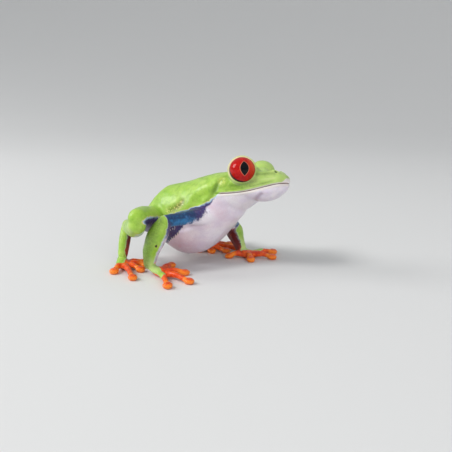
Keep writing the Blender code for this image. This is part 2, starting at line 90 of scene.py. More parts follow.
# Head sections from nape to snout: u, top w, bottom w, half width, height of the widest line.
HEAD = (
    (-19.5, 0.6, -12.0, 8.6, -5.4),
    (-15.0, 1.8, -14.2, 9.7, -5.4),
    (-11.0, 1.9, -13.9, 10.0, -5.3),
    (-7.0, 1.5, -12.6, 9.9, -5.2),
    (-3.0, 0.9, -11.1, 9.3, -5.1),
    (1.0, 0.2, -10.7, 8.3, -5.0),
    (5.0, -0.6, -10.2, 7.0, -5.0),
    (8.5, -1.3, -9.3, 5.5, -5.0),
    (10.8, -2.1, -8.4, 4.0, -5.1),
    (12.1, -3.5, -7.3, 2.1, -5.3),
)
HEAD_EXPONENT = 2.5
SNOUT_REACH = 0.5
MOUTH_W = -6.2
MOUTH_CORNER_U = -8.6
# How far the mouth line sags below its ends: u and depth.
MOUTH_SAG = ((-12, 0.1), (-8.6, 0.35), (-5, 0.8), (-1.6, 1.05), (2.5, 0.95), (7, 0.4), (10.5, 0.0), (13, 0.0))
BROW_AT = (-1.8, 3.6, -1.3)
BROW_SIZE = (6.8, 4.2, 3.5)

EYE_RADIUS = 4.4
EYE_SPREAD = 7.6
ORBIT_RADIUS = {"right": 4.98, "left": 4.86}
LID_FORWARD = {"right": 28, "left": 6}
LID_REACH = {"right": (6.4, 5.9), "left": (5.8, 5.1)}  # distance from an eye's centre where the lids end and are full
LID_UP = 5
LID_ANGLE = {"right": 81, "left": 77}  # degrees from the opening's axis to the lids' rim
GAZE_FORWARD = 39  # degrees that the pupil looks forward of square to the side
GAZE_UP = -1
EYE_SINK = 0.75  # how far the skin lies under the eyeball's surface
LID_SINK = 0.08  # how far the lids' rim lies under the orbit's surface
LID_CREASE = 0.10
CORNEA_BULGE = 0.022
TYMPANUM_AT = (-7.0, -2.5)
TYMPANUM_RADIUS = 1.9
NOSTRIL_AT = (9.9, 2.8, -2.2)
# Fold of skin behind the ear on the right side, from the eye to the shoulder: x, y and z.
FOLD = (
    (32.6, -8.3, 33.8), (31.4, -9.3, 32.5), (30.2, -10.0, 30.7),
    (29.4, -10.4, 28.4), (28.1, -10.9, 26.0), (26.8, -11.0, 24.4),
)
# More lines on the right side, x, y and z: creases of throat and belly, ridge over the shoulder blade, the hollow in
# front of it, the dip behind it and the specks along that dip.
THROAT = ((41.4, -2.5, 23.6), (42.8, -5.0, 25.3), (45.6, -6.3, 27.7))
BELLY_FOLD = ((17.0, -11.0, 14.2), (21.0, -11.0, 15.6), (25.4, -10.0, 17.0))
SHOULDER_RIDGE = (
    (20.0, -11.2, 22.8), (20.2, -10.9, 24.8), (21.4, -10.7, 26.6), (23.8, -10.4, 28.0), (26.4, -9.9, 29.2),
)
SHOULDER_HOLLOW = ((23.2, -11.3, 24.0), (25.0, -11.0, 25.2), (27.8, -10.6, 27.3))
FLANK_DIP = ((12.6, -11.4, 20.2), (15.4, -11.4, 22.0), (16.8, -11.2, 23.6))
FLANK_SPECKS = ((10.6, -11.2, 19.6), (13.0, -11.2, 20.6), (15.0, -11.2, 21.2), (16.4, -11.2, 22.8))
FLANK_Y = 9.0  # distance of the flanks from the middle plane
# Lines on both sides of the head, in its own frame: ridge from eye to nostril, hollow below it, painted shade between
# them, painted highlight and painted shade over the lip.
CANTHUS = ((3.6, 6.1, -1.0), (6.4, 4.6, -1.2), (9.2, 2.9, -1.6))
LORE = ((4.6, 7.0, -3.4), (7.2, 5.6, -3.5), (9.8, 4.2, -3.6))
LORE_SHADE = ((4.4, 6.4, -2.0), (7.0, 5.0, -2.3), (9.6, 3.5, -2.7))
LIP_HIGHLIGHT = ((1.5, 8.4, -4.4), (6.0, 6.6, -4.1), (10.0, 4.4, -4.2))
LIP_SHADE = ((-6.0, 9.0, -4.4), (0.0, 9.0, -5.1), (4.5, 7.6, -4.3))

# Relief along the mouth: depth, change of it at the snout's tip, height over the mouth line and width.
MOUTH_RELIEF = ((-0.40, 0.15, 0.0, 0.20), (0.20, -0.12, 0.62, 0.42), (0.10, 0.10, -0.62, 0.45))
# Relief under the jaw: depth, w where it starts and is full, u of its middle and width.
JAW_RELIEF = ((-0.50, -7.5, -9.5, -0.8, 1.9), (0.70, -6.9, -8.4, 6.8, 4.2))
# Relief along lines: line, depth and width.
FACE_RELIEF = ((CANTHUS, 0.42, 0.8), (LORE, -0.34, 1.2))
FLANK_RELIEF = ((SHOULDER_RIDGE, 0.60, 1.8), (SHOULDER_HOLLOW, -0.36, 1.5), (FLANK_DIP, -0.26, 1.2))
THROAT_DEPTH = 0.38
FOLD_DEPTH = 0.42
FOLD_RIDGE = 0.55
FOLD_RIDGE_SHIFT = (-1.4, 0, 0.5)
BELLY_FOLD_DEPTH = 0.30
NOSTRIL_DEPTH = 1.15
NOSTRIL_RIM = 0.34
EAR_RELIEF = 0.06
SPOT_AT = (14.7, -25.0, 10.8)  # dark spot on the right forearm
SPOT_STRETCH = (1, 1, 1.5)
# Swellings of the limbs: limb, share of its length, height and width as a share of the length.
MUSCLES = (("forearm", 0.3, 0.25, 0.22), ("shank", 0.35, 0.25, 0.22), ("thigh", 0.45, 0.2, 0.25))

# Height of the lower edge of the green along the trunk, at the right flank: x and z.
GREEN_EDGE = (
    (-6, 13.6), (-2.5, 14.8), (3.2, 16.2), (9.0, 17.8), (15.2, 19.6), (21.0, 21.0), (26.4, 22.6), (28.4, 24.6),
    (32.3, 26.1),
)
# How far the blue of the flank reaches below that edge: x and depth.
BLUE_DEPTH = (
    (-5, 4.0), (2, 9.0), (8, 11.6), (12, 9.4), (15, 8.4), (17.5, 6.2), (20, 3.4), (25, 2.6), (28, 1.5), (31, 0.2),
)

# Limbs: x, y, z and radius of the flesh at each point.
UPPER_ARM = {
    "right": ((27.4, -5.6, 19.6, 4.6), (24.2, -10.4, 19.2, 3.1), (20.6, -15.2, 18.9, 2.3), (16.4, -20.0, 18.6, 2.1)),
    "left": ((26.6, 5.6, 17.2, 4.6), (25.6, 10.6, 14.8, 3.2), (24.8, 15.0, 12.4, 2.4), (23.6, 18.6, 10.4, 2.2)),
}
FOREARM = {
    "right": ((15.8, -21.2, 18.0, 2.5), (13.8, -22.4, 13.8, 3.2), (11.8, -23.2, 8.6, 2.9), (11.0, -23.4, 4.0, 2.1)),
    "left": ((23.5, 19.2, 9.8, 2.6), (25.0, 17.0, 8.4, 3.1), (27.4, 14.0, 6.4, 2.7), (29.6, 12.0, 3.7, 2.1)),
}
THIGH = {
    "right": ((3.4, -2.6, 15.4, 5.0), (5.2, -12.0, 16.6, 4.5), (7.4, -20.4, 19.0, 3.9), (8.8, -26.2, 20.0, 3.4)),
    "left": ((2.6, 3.4, 15.8, 5.0), (8.0, 11.6, 15.4, 4.6), (13.6, 17.2, 14.2, 3.9), (17.4, 20.6, 13.2, 3.4)),
}
SHANK = {
    "right": ((8.6, -26.6, 17.6, 3.0), (5.2, -22.6, 15.6, 3.0), (-0.2, -17.0, 14.4, 2.7), (-4.2, -12.8, 14.0, 2.1)),
    "left": ((17.4, 21.6, 11.0, 3.2), (11.0, 20.4, 9.0, 3.3), (2.6, 17.2, 7.6, 2.8), (-4.8, 14.0, 7.4, 1.9)),
}
TARSUS = {
    "right": ((-4.4, -13.2, 13.0, 2.0), (-4.2, -15.2, 8.6, 2.1), (-3.8, -17.2, 4.3, 1.8)),
    "left": ((-5.2, 14.2, 6.6, 1.9), (0.4, 15.2, 4.6, 1.8), (5.6, 16.0, 3.0, 1.7)),
}
# Hands and feet: wrist or ankle, middle of the palm or sole, and each digit's tip from inner to outer.
HAND = {
    "right": ((11.8, -23.2, 2.6), (14.6, -23.0, 1.6), ((13.4, -12.0), (22.8, -18.6), (28.8, -27.2), (24.4, -34.4))),
    "left": ((30.4, 11.6, 2.6), (32.8, 11.4, 1.6), ((26.4, 7.2), (36.6, 5.6), (43.0, 12.6), (40.4, 20.6))),
}
FOOT = {
    "right": (
        (-3.8, -17.9, 2.4), (-2.2, -19.6, 1.6),
        ((2.2, -12.8), (5.8, -16.2), (7.0, -22.0), (9.6, -31.4), (-0.6, -28.0)),
    ),
    "left": (
        (6.6, 16.2, 2.2), (9.6, 16.6, 1.5),
        ((13.0, 10.6), (18.4, 11.2), (23.6, 14.0), (27.8, 19.4), (20.2, 25.0)),
    ),
}
WRIST_RADIUS = 1.8
PALM_RADIUS = 2.7
PALM_FLATTEN = 0.55
DIGIT_ROOT = 1.25
DIGIT_NECK = 0.92
DIGIT_START = 0.5
DIGIT_ARCH = 0.7
PAD_RADIUS = 1.8
PAD_Z = 0.85
PAD_FLATTEN = 0.62
WEB_THICK = 0.8
WEB_HOLLOW = 0.92
WEB_SHARE = 0.42

BODY_SEGMENTS = 64
BODY_STEPS = 4
LIMB_SEGMENTS = 28
LIMB_STEPS = 5
DIGIT_SEGMENTS = 18
PAD_SEGMENTS = 24
CAP_STEPS = 5
VOXEL = 0.362
BOX_MARGIN = 0.01
JOIN_ROUNDS = 10  # how often the joins between the forms are smoothed
RIPPLE = 0.05  # height of the skin's unevenness
RIPPLE_SIZE = 3.5
RIPPLE_SEED = 11
BLEND = 0.3  # millimetres over which one region's colour passes into the next


def spline(rows, steps):
    """Catmull-Rom curve through rows of numbers, with steps spans between neighbouring rows."""
    rows = np.array(rows, float)
    ends = np.vstack([2 * rows[0] - rows[1], rows, 2 * rows[-1] - rows[-2]])
    made = []
    for a, b, c, d in zip(ends, ends[1:], ends[2:], ends[3:]):
        for t in np.arange(steps) / steps:
            square = 2 * a - 5 * b + 4 * c - d
            cube = 3 * b - a - 3 * c + d
            made.append(0.5 * (2 * b + (c - a) * t + square * t**2 + cube * t**3))
    return np.array(made + [rows[-1]])


def unit(vector):
    vector = np.asarray(vector, float)
    return vector / np.linalg.norm(vector)


def lengths(vectors):
    return np.linalg.norm(vectors, axis=1)


def fade(values, start, end):
    """0 at start, 1 at end and smooth between them."""
    share = np.clip((values - start) / (end - start), 0, 1)
    return share * share * (3 - 2 * share)


def hump(values, width):
    return np.exp(-np.square(values / width))


def head_frame():
    turn = Matrix.Rotation(math.radians(HEAD_YAW), 4, "Z")
    turn @= Matrix.Rotation(math.radians(-HEAD_PITCH), 4, "Y")
    turn @= Matrix.Rotation(math.radians(HEAD_ROLL), 4, "X")
    return Matrix.Translation(Vector(HEAD_AT)) @ turn


HEAD_TURN = np.array(head_frame().to_3x3())


def from_head(u, v, w):
    return np.array(HEAD_AT) + HEAD_TURN @ np.array((u, v, w), float)


def to_head(points):
    return (points - np.array(HEAD_AT)) @ HEAD_TURN


def head_direction(side, forward, up):
    """Direction in the plan of an axis of one eye."""
    forward = math.radians(forward)
    up = math.radians(up)
    out = math.cos(forward) * math.cos(up)
    return HEAD_TURN @ np.array((math.sin(forward) * math.cos(up), SIDES[side] * out, math.sin(up)))


def eye_centre(side):
    return from_head(0, SIDES[side] * EYE_SPREAD, 0)


LOW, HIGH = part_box("eye_right")
SHIFT = np.array((LOW + HIGH) / 2) / MM - eye_centre("right")


def cheek(u, w):
    """Distance of the head's side from its middle plane."""
    rows = np.array(HEAD)
    top, bottom, half_width, waist = (np.interp(u, rows[:, 0], rows[:, column]) for column in (1, 2, 3, 4))
    height = (w - waist) / np.where(w > waist, top - waist, waist - bottom)
    return half_width * (1 - np.clip(abs(height), 0, 1) ** HEAD_EXPONENT) ** (1 / HEAD_EXPONENT)


def oval(centre, side, up, half_width, rise, drop, exponent, segments):
    """Ring of points with its own reach upward and downward from the widest line."""
    angles = np.linspace(0, math.tau, segments, endpoint=False)
    across = np.sign(np.cos(angles)) * np.abs(np.cos(angles)) ** (2 / exponent) * half_width
    along = np.sign(np.sin(angles)) * np.abs(np.sin(angles)) ** (2 / exponent)
    along = np.where(along > 0, along * rise, along * drop)
    return centre + across[:, None] * side + along[:, None] * up


def loft(maker, rings):
    """Closed form through rings of points: a circle for each, bridged to the next, with a face at both ends."""
    last = None
    for points in rings:
        verts = bmesh.ops.create_circle(maker, segments=len(points), radius=1.0)["verts"]
        for vert, point in zip(verts, points):
            vert.co = point
        edges = list(dict.fromkeys(edge for vert in verts for edge in vert.link_edges))
        if last is None:
            bmesh.ops.edgeloop_fill(maker, edges=edges)
        else:
            bmesh.ops.bridge_loops(maker, edges=last + edges)
        last = edges
    bmesh.ops.edgeloop_fill(maker, edges=last)


def trunk(maker):
    rings = []
    rows = spline(TRUNK, BODY_STEPS)
    for index, (top_x, top_z, low_x, low_z, half_width, roll) in enumerate(rows):
        top = np.array((top_x, 0, top_z))
        low = np.array((low_x, 0, low_z))
        centre = low + (top - low) * TRUNK_WAIST
        up = unit(top - low)
        turn = np.array(Matrix.Rotation(math.radians(roll), 3, Vector(np.cross(up, (0, 1, 0)))))
        rise = np.linalg.norm(top - centre)
        drop = np.linalg.norm(centre - low)
        if index == 0:
            for share in (0.35, 0.7):
                size = math.sqrt(1 - (1 - share) ** 2)
                behind = centre + np.array((-RUMP_REACH * (1 - share), 0, 0))
                rings.append(oval(behind, turn[:, 1], turn @ up, half_width * size, rise * size, drop * size,
                                  TRUNK_EXPONENT, BODY_SEGMENTS))
        rings.append(oval(centre, turn[:, 1], turn @ up, half_width, rise, drop, TRUNK_EXPONENT, BODY_SEGMENTS))
    centre = rings[-1].mean(axis=0)
    for share in (0.6, 1.0):
        ahead = np.array((NECK_REACH * share, 0, 0))
        rings.append(centre + (rings[-1] - centre) * (1 - 0.45 * share) + ahead)
    loft(maker, rings)


def head(maker):
    rings = []
    rows = spline(HEAD, BODY_STEPS)
    for u, top, bottom, half_width, waist in rows:
        centre = from_head(u, 0, waist)
        rings.append(oval(centre, HEAD_TURN[:, 1], HEAD_TURN[:, 2], half_width, top - waist, waist - bottom,
                          HEAD_EXPONENT, BODY_SEGMENTS))
    _, top, bottom, half_width, waist = rows[-1]
    for share in (0.5, 0.85):
        size = math.sqrt(1 - share**2)
        centre = from_head(HEAD[-1][0] + SNOUT_REACH * share, 0, waist)
        rings.append(oval(centre, HEAD_TURN[:, 1], HEAD_TURN[:, 2], half_width * size, (top - waist) * size,
                          (waist - bottom) * size, HEAD_EXPONENT, BODY_SEGMENTS))
    loft(maker, rings)


def tube(maker, rows, segments, flatten=1.0):
    """Round-ended tube through x, y, z and radius, which flatten makes thinner upright."""
    rings = []
    side = None
    last = len(rows) - 1
    for index, row in enumerate(rows):
        centre, radius = row[:3], row[3]
        along = unit(rows[min(index + 1, last)][:3] - rows[max(index - 1, 0)][:3])
        if side is None:
            side = np.cross(along, (0, 0, 1))
            side = side if np.linalg.norm(side) > 0.1 else np.cross(along, (0, 1, 0))
        side = unit(side - along * (side @ along))
        up = np.cross(side, along)
        leans = [0.0]
        if index == 0:
            leans = [-math.pi / 2 * step / CAP_STEPS for step in range(CAP_STEPS - 1, -1, -1)]
        elif index == last:
            leans = [math.pi / 2 * step / CAP_STEPS for step in range(CAP_STEPS)]
        for lean in leans:
            size = radius * math.cos(lean)
            at = centre + along * radius * math.sin(lean)
            rings.append(oval(at, side, up, size, size * flatten, size * flatten, 2, segments))
    loft(maker, rings)


def ball(maker, centre, radius, stretch=(1, 1, 1), turn=None, segments=32, rings=20):
    place = Matrix.Translation(Vector(centre))
    if turn is not None:
        place @= Matrix(turn.tolist()).to_4x4()
    place @= Matrix.Diagonal((*stretch, 1))
    bmesh.ops.create_uvsphere(maker, u_segments=segments, v_segments=rings, radius=radius, matrix=place)


def paw_plan(plan):
    """(palm row, digit rows, pads) of a hand or foot, with a pad as its middle and the way it points."""
    wrist, palm, ends = (np.array(part, float) for part in plan)
    palm_rows = spline([(*wrist, WRIST_RADIUS), (*palm, PALM_RADIUS)], 3)
    digits = []
    pads = []
    for end in ends:
        tip = np.array((*end, PAD_Z))
        along = unit(tip - palm)
        root = palm + along * PALM_RADIUS * DIGIT_START
        root[2] = DIGIT_ROOT
        middle = root + (tip - root) * 0.55 + np.array((0, 0, DIGIT_ARCH))
        knuckle = root + (tip - root) * 0.3 + np.array((0, 0, DIGIT_ARCH * 0.8))
        neck = root + (tip - root) * 0.85
        digits.append(spline(
            [(*root, DIGIT_ROOT), (*knuckle, DIGIT_ROOT * 0.84), (*middle, DIGIT_NECK * 1.06), (*neck, DIGIT_NECK)], 3
        ))
        pads.append((tip - along * PAD_RADIUS * 0.4, along))
    return palm_rows, digits, pads


def paw(maker, plan):
    palm_rows, digits, pads = paw_plan(plan)
    tube(maker, palm_rows, LIMB_SEGMENTS, PALM_FLATTEN)
    for rows in digits:
        tube(maker, rows, DIGIT_SEGMENTS)
    for centre, along in pads:
        side = unit(np.cross(along, (0, 0, 1)))
        turn = np.array((along, side, np.cross(along, side))).T
        ball(maker, centre, PAD_RADIUS, (1.1, 1, PAD_FLATTEN), turn, PAD_SEGMENTS, 14)
    palm = Vector(plan[1])
    tips = [Vector((*end, PAD_Z)) for end in plan[2]]
    for first, second in zip(tips, tips[1:]):
        corners = [palm, palm.lerp(first, WEB_SHARE), palm.lerp(second, WEB_SHARE)]
        corners.append(palm.lerp((corners[1] + corners[2]) / 2, WEB_HOLLOW))
        verts = []
        for corner in corners:
            for lift in (-WEB_THICK / 2, WEB_THICK / 2):
                verts.append(maker.verts.new(corner + Vector((0, 0, lift + 0.15))))
        bmesh.ops.convex_hull(maker, input=verts)


LIMB_TABLES = {"upper_arm": UPPER_ARM, "forearm": FOREARM, "thigh": THIGH, "shank": SHANK, "tarsus": TARSUS}
LIMBS = {
    (name, side): spline(table[side], LIMB_STEPS) for side in SIDES for name, table in LIMB_TABLES.items()
}
PLANS = [plan for plans in (HAND, FOOT) for plan in plans.values()]


def link(obj):
    bpy.context.scene.collection.objects.link(obj)


def mesh_from(maker, name):
    mesh = bpy.data.meshes.new(name)
    maker.to_mesh(mesh)
    maker.free()
    return mesh


def flesh_mesh(parts):
    """One closed surface over all the forms that parts makes."""
    maker = bmesh.new()
    for part in parts:
        part(maker)
    bmesh.ops.recalc_face_normals(maker, faces=maker.faces)
    return mesh_from(maker, "flesh")


def body_forms(maker):
    trunk(maker)
    head(maker)
    for side, sign in SIDES.items():
        ball(maker, eye_centre(side), ORBIT_RADIUS[side], segments=40, rings=28)
        u, v, w = BROW_AT
        ball(maker, from_head(u, sign * v, w), 1, BROW_SIZE, HEAD_TURN)


def limb_forms(maker):
    for rows in LIMBS.values():
        tube(maker, rows, LIMB_SEGMENTS)
    for plan in PLANS:
        paw(maker, plan)


def remeshed(mesh):
    """The mesh as one even skin of quads."""
    obj = bpy.data.objects.new("cast", mesh)
    link(obj)
    remesh = obj.modifiers.new("even", "REMESH")
    remesh.mode = "VOXEL"
    remesh.voxel_size = VOXEL
    graph = bpy.context.evaluated_depsgraph_get()
    made = bpy.data.meshes.new_from_object(obj.evaluated_get(graph))
    bpy.data.objects.remove(obj, do_unlink=True)
    bpy.data.meshes.remove(mesh)
    return made


def points_of(mesh):
    points = np.empty(len(mesh.vertices) * 3)
    mesh.vertices.foreach_get("co", points)
    return points.reshape(-1, 3)


def normals_of(mesh):
    normals = np.empty(len(mesh.vertices) * 3)
    mesh.vertices.foreach_get("normal", normals)
    return normals.reshape(-1, 3)


def place_points(mesh, points):
    mesh.vertices.foreach_set("co", points.ravel())
    mesh.update()


def relax(mesh, weight, rounds):
    """Moves each point towards the middle of its neighbours, by its weight."""
    points = points_of(mesh)
    edges = np.empty(len(mesh.edges) * 2, np.int32)
    mesh.edges.foreach_get("vertices", edges)
    first, second = edges.reshape(-1, 2).T
    size = len(points)
    count = np.bincount(first, minlength=size) + np.bincount(second, minlength=size)
    for _ in range(rounds):
        middle = np.empty_like(points)
        for axis in range(3):
            middle[:, axis] = np.bincount(first, points[second, axis], size)
            middle[:, axis] += np.bincount(second, points[first, axis], size)
        middle /= count[:, None]
        points += (middle - points) * (0.5 * weight)[:, None]
    place_points(mesh, points)


def follow(points, rows):
    """For each point: distance outside the tube through rows, share of the way along, direction from the middle."""
    best = np.full(len(points), np.inf)
    share = np.zeros(len(points))
    out = np.zeros((len(points), 3))
    spans = len(rows) - 1
    for index in range(spans):
        start, end = rows[index], rows[index + 1]
        run = end[:3] - start[:3]
        t = np.clip((points - start[:3]) @ run / (run @ run), 0, 1)
        offset = points - start[:3] - t[:, None] * run
        length = lengths(offset)
        gap = length - (start[3] + t * (end[3] - start[3]))
        closer = gap < best
        best[closer] = gap[closer]
        share[closer] = (index + t[closer]) / spans
        out[closer] = offset[closer] / np.maximum(length[closer], 1e-6)[:, None]
    return best, share, out


def from_path(points, path):
    """Distance of each point from a line through the points of path."""
    return follow(points, np.array([(*point, 0.0) for point in path]))[0]


def nearest_gap(points, tubes):
    return np.min([follow(points, rows)[0] for rows in tubes], axis=0)


def body_gap(points, mesh):
    """Distance of each point from the surface of mesh."""
    tree = BVHTree.FromPolygons([vert.co for vert in mesh.vertices], [poly.vertices for poly in mesh.polygons])
    return np.array([tree.find_nearest(point)[3] for point in points])


def mirrored(line, sign):
    """A line of the right side, on the side that sign tells."""
    return [np.array((x, -sign * y, z)) for x, y, z in line]


def smooth_joins(mesh):
    """Melts the limbs into the trunk, and leaves fingers and toes nearly as they are."""
    points = points_of(mesh)
    digits = []
    for plan in PLANS:
        palm_rows, digit_rows, _ = paw_plan(plan)
        digits += [palm_rows] + digit_rows
    digit = fade(nearest_gap(points, digits), 1.6, 0.4)
    keep = digit * 0.82
    for (name, _), rows in LIMBS.items():
        gap, share, _ = follow(points, rows)
        free = fade(share, 0.2, 0.55) if name in ("upper_arm", "thigh") else 1.0
        keep = np.maximum(keep, 0.72 * fade(gap, 0.9, 0.3) * free)
    eyes = np.min([lengths(points - eye_centre(side)) for side in SIDES], axis=0)
    keep = np.maximum(keep, fade(eyes, 6.4, 5.4) * 0.8)
    relax(mesh, 1 - keep, JOIN_ROUNDS)


def refined(mesh, wanted):
    """Halves the edges of all faces whose points are wanted."""
    maker = bmesh.new()
    maker.from_mesh(mesh)
    edges = [edge for edge in maker.edges if wanted[edge.verts[0].index] and wanted[edge.verts[1].index]]
    bmesh.ops.subdivide_edges(maker, edges=edges, cuts=1, use_grid_fill=True)
    bmesh.ops.triangulate(maker, faces=[face for face in maker.faces if len(face.verts) > 4])
    maker.to_mesh(mesh)
    maker.free()


def along_curve(x, rows, spread):
    """Height at x of the broken line through rows, rounded by spread on either side."""
    at, height = np.array(rows).T
    return sum(np.interp(x + reach * spread, at, height) for reach in (-1, -0.5, 0, 0.5, 1)) / 5


def mouth_height(u):
    """Height of the mouth line, which sags under the eye."""
    return MOUTH_W - along_curve(u, MOUTH_SAG, 1.6)


def face_place(points):
    """Place in the head's frame with both sides laid on the left one."""
    place = to_head(points)
    place[:, 1] = abs(place[:, 1])
    return place


def lid_angles(points, side):
    """Distance of each point from an eye's centre, its direction, and its angle in degrees behind the lids' rim."""
    offset = points - eye_centre(side)
    distance = lengths(offset)
    direction = offset / np.maximum(distance, 1e-6)[:, None]
    turned = np.degrees(np.arccos(np.clip(direction @ head_direction(side, LID_FORWARD[side], LID_UP), -1, 1)))
    return distance, direction, turned - LID_ANGLE[side]


def fine_places(points):
    """True at the lids, along the mouth and at the nostrils, which need a finer mesh."""
    wanted = np.zeros(len(points), bool)
    for side in SIDES:
        distance, _, angle = lid_angles(points, side)
        wanted |= (distance < 6.2) & (angle > -17) & (angle < 12)
    place = face_place(points)
    u, _, w = place.T
    wanted |= (abs(w - mouth_height(u)) < 1.0) & (u > MOUTH_CORNER_U - 1.5)
    return wanted | (lengths(place - NOSTRIL_AT) < 1.6)


def sculpt_lids(points):
    """Sinks the skin under each eyeball, raises the lids' rim round it and marks a crease behind the rim."""
    for side in SIDES:
        distance, direction, angle = lid_angles(points, side)
        inside = fade(angle, 1, -5) * fade(distance, 5.9, 5.3)
        target = distance + (EYE_RADIUS - EYE_SINK - distance) * inside
        rim = hump(angle - 3.0, 4.5) * fade(angle, -5, 0)
        target += rim * (ORBIT_RADIUS[side] - LID_SINK - target)
        target -= LID_CREASE * hump(angle - 12, 4.0) * fade(distance, 6.0, 5.5)
        target = distance + (target - distance) * fade(distance, *LID_REACH[side])
        points = eye_centre(side) + direction * target[:, None]
    return points


def throat_distance(points):
    """Distance from the throat's crease, seen from the side of the head."""
    seen = to_head(points) * (1, 0, 1)
    return from_path(seen, to_head(np.array(THROAT)) * (1, 0, 1))


def side_distance(points, line):
    """Distance from a line on either flank, seen from the side."""
    away = abs(abs(points[:, 1]) - FLANK_Y) > 3.6
    return from_path(points * (1, 0, 1), np.array(line) * (1, 0, 1)) + 9 * away


def ear_distance(points, sign):
    u, w = TYMPANUM_AT
    return lengths(points - from_head(u, sign * float(cheek(u, w)), w))


def sculpt_head(points, normals):
    """Mouth, lips, jaw, nostrils, ears and the ridges and folds of the head and flanks."""
    place = face_place(points)
    u, _, w = place.T
    on_head = fade(u, MOUTH_CORNER_U - 2.6, MOUTH_CORNER_U - 0.4)
    drop = w - mouth_height(u)
    tip = fade(u, 8.5, 11.5)
    out = -0.08 * fade(drop, -0.4, -1.8) * fade(drop, -4.5, -2.2) * on_head * (1 - tip)
    out += 0.35 * tip * hump(drop - 1.6, 1.4)
    for depth, at_tip, height, width in MOUTH_RELIEF:
        out += (depth + at_tip * tip) * hump(drop - height, width) * on_head
    for depth, start, full, middle, width in JAW_RELIEF:
        out += depth * fade(w, start, full) * hump(u - middle, width)
    for line, depth, width in FACE_RELIEF:
        out += depth * hump(from_path(place, line), width)
    out -= THROAT_DEPTH * hump(throat_distance(points), 0.45)
    nostril = lengths(place - NOSTRIL_AT)
    out += NOSTRIL_RIM * hump(nostril - 0.7, 0.7) - NOSTRIL_DEPTH * hump(nostril, 0.42)
    for sign in SIDES.values():
        ear = ear_distance(points, sign) - TYMPANUM_RADIUS
        out += EAR_RELIEF * (hump(ear + 0.2, 0.6) - hump(ear - 0.5, 0.5))
        fold = mirrored(FOLD, sign)
        out -= FOLD_DEPTH * hump(from_path(points, fold), 0.6)
        out += FOLD_RIDGE * hump(from_path(points, [point + FOLD_RIDGE_SHIFT for point in fold]), 1.1)
        belly = from_path(points, mirrored(BELLY_FOLD, sign))
        out += 0.20 * hump(belly - 1.4, 0.9) - BELLY_FOLD_DEPTH * hump(belly, 0.6)
    for line, depth, width in FLANK_RELIEF:
        out += depth * hump(side_distance(points, line), width)
    return points + normals * out[:, None]


def sculpt_limbs(points, normals):
    """Muscle, joints and the grooves round the toe pads."""
    out = np.zeros(len(points))
    for side in SIDES:
        for name, at, height, width in MUSCLES:
            gap, share, _ = follow(points, LIMBS[name, side])
            out += height * hump(share - at, width) * fade(gap, 1.0, 0.2)
    for plan in PLANS:
        _, digits, pads = paw_plan(plan)
        for rows in digits:
            gap, share, _ = follow(points, rows)
            joints = 0.10 * (hump(share - 0.45, 0.1) + hump(share - 0.02, 0.12)) - 0.07 * hump(share - 0.72, 0.12)
            out += joints * fade(gap, 0.6, 0.2)
        for centre, _ in pads:
            offset = points - centre
            height = offset[:, 2]
            flat = lengths(offset[:, :2])
            groove = -0.13 * hump(height + 0.28, 0.16) * fade(flat, 1.2, 1.6)
            crown = 0.05 * hump(flat - 0.9, 0.5) * fade(height, 0.1, 0.6)
            dimple = -0.06 * hump(flat, 0.45) * fade(height, 0, 0.5)
            out += np.where((flat < 2.4) & (abs(height) < 1.6), groove + crown + dimple, 0)
    return points + normals * out[:, None]


def ripple(points, size, seed):
    """Even, smooth unevenness between about -1 and 1, with waves of about this size."""
    draw = np.random.default_rng(seed)
    total = np.zeros(len(points))
    for _ in range(7):
        direction = unit(draw.normal(size=3))
        total += np.sin(points @ direction * math.tau / (size * draw.uniform(0.7, 1.5)) + draw.uniform(0, math.tau))
    return total / 3.0


def body_fields(points):
    """Colour fields of the trunk and head."""
    x, y, z = points.T
    rows = np.array(TRUNK)
    roll = np.interp(x, rows[:, 0], rows[:, 5])
    flank = z - y * np.tan(np.radians(roll)) - along_curve(x, GREEN_EDGE, 2.0)
    u, _, w = to_head(points).T
    ahead = fade(x, 28.5, 32.5)
    green = flank * (1 - ahead) + (w - mouth_height(u) - 0.05) * ahead
    reach = np.interp(x, *np.array(BLUE_DEPTH).T)
    low = fade(z, 17, 6) * fade(x, 32, 14)
    mauve = 0.8 * hump(z - 19.5, 4.5) * hump(x - 28, 6.0)
    none = np.zeros(len(points))
    return {
        "green": green,
        "blue": fade(-green, reach + 0.9, reach - 0.9) * fade(reach, 0.2, 1.4) * fade(abs(y), 3.0, 6.5),
        "orange": none,
        "red": none,
        "pink": np.maximum(low, mauve),
        "bars": fade(x, 21, 17),
        "deep": none + 0.7,
        "violet": 0.3 + 0.8 * fade(x, 18, 24) + 0.6 * hump(x - 14, 4),
    }
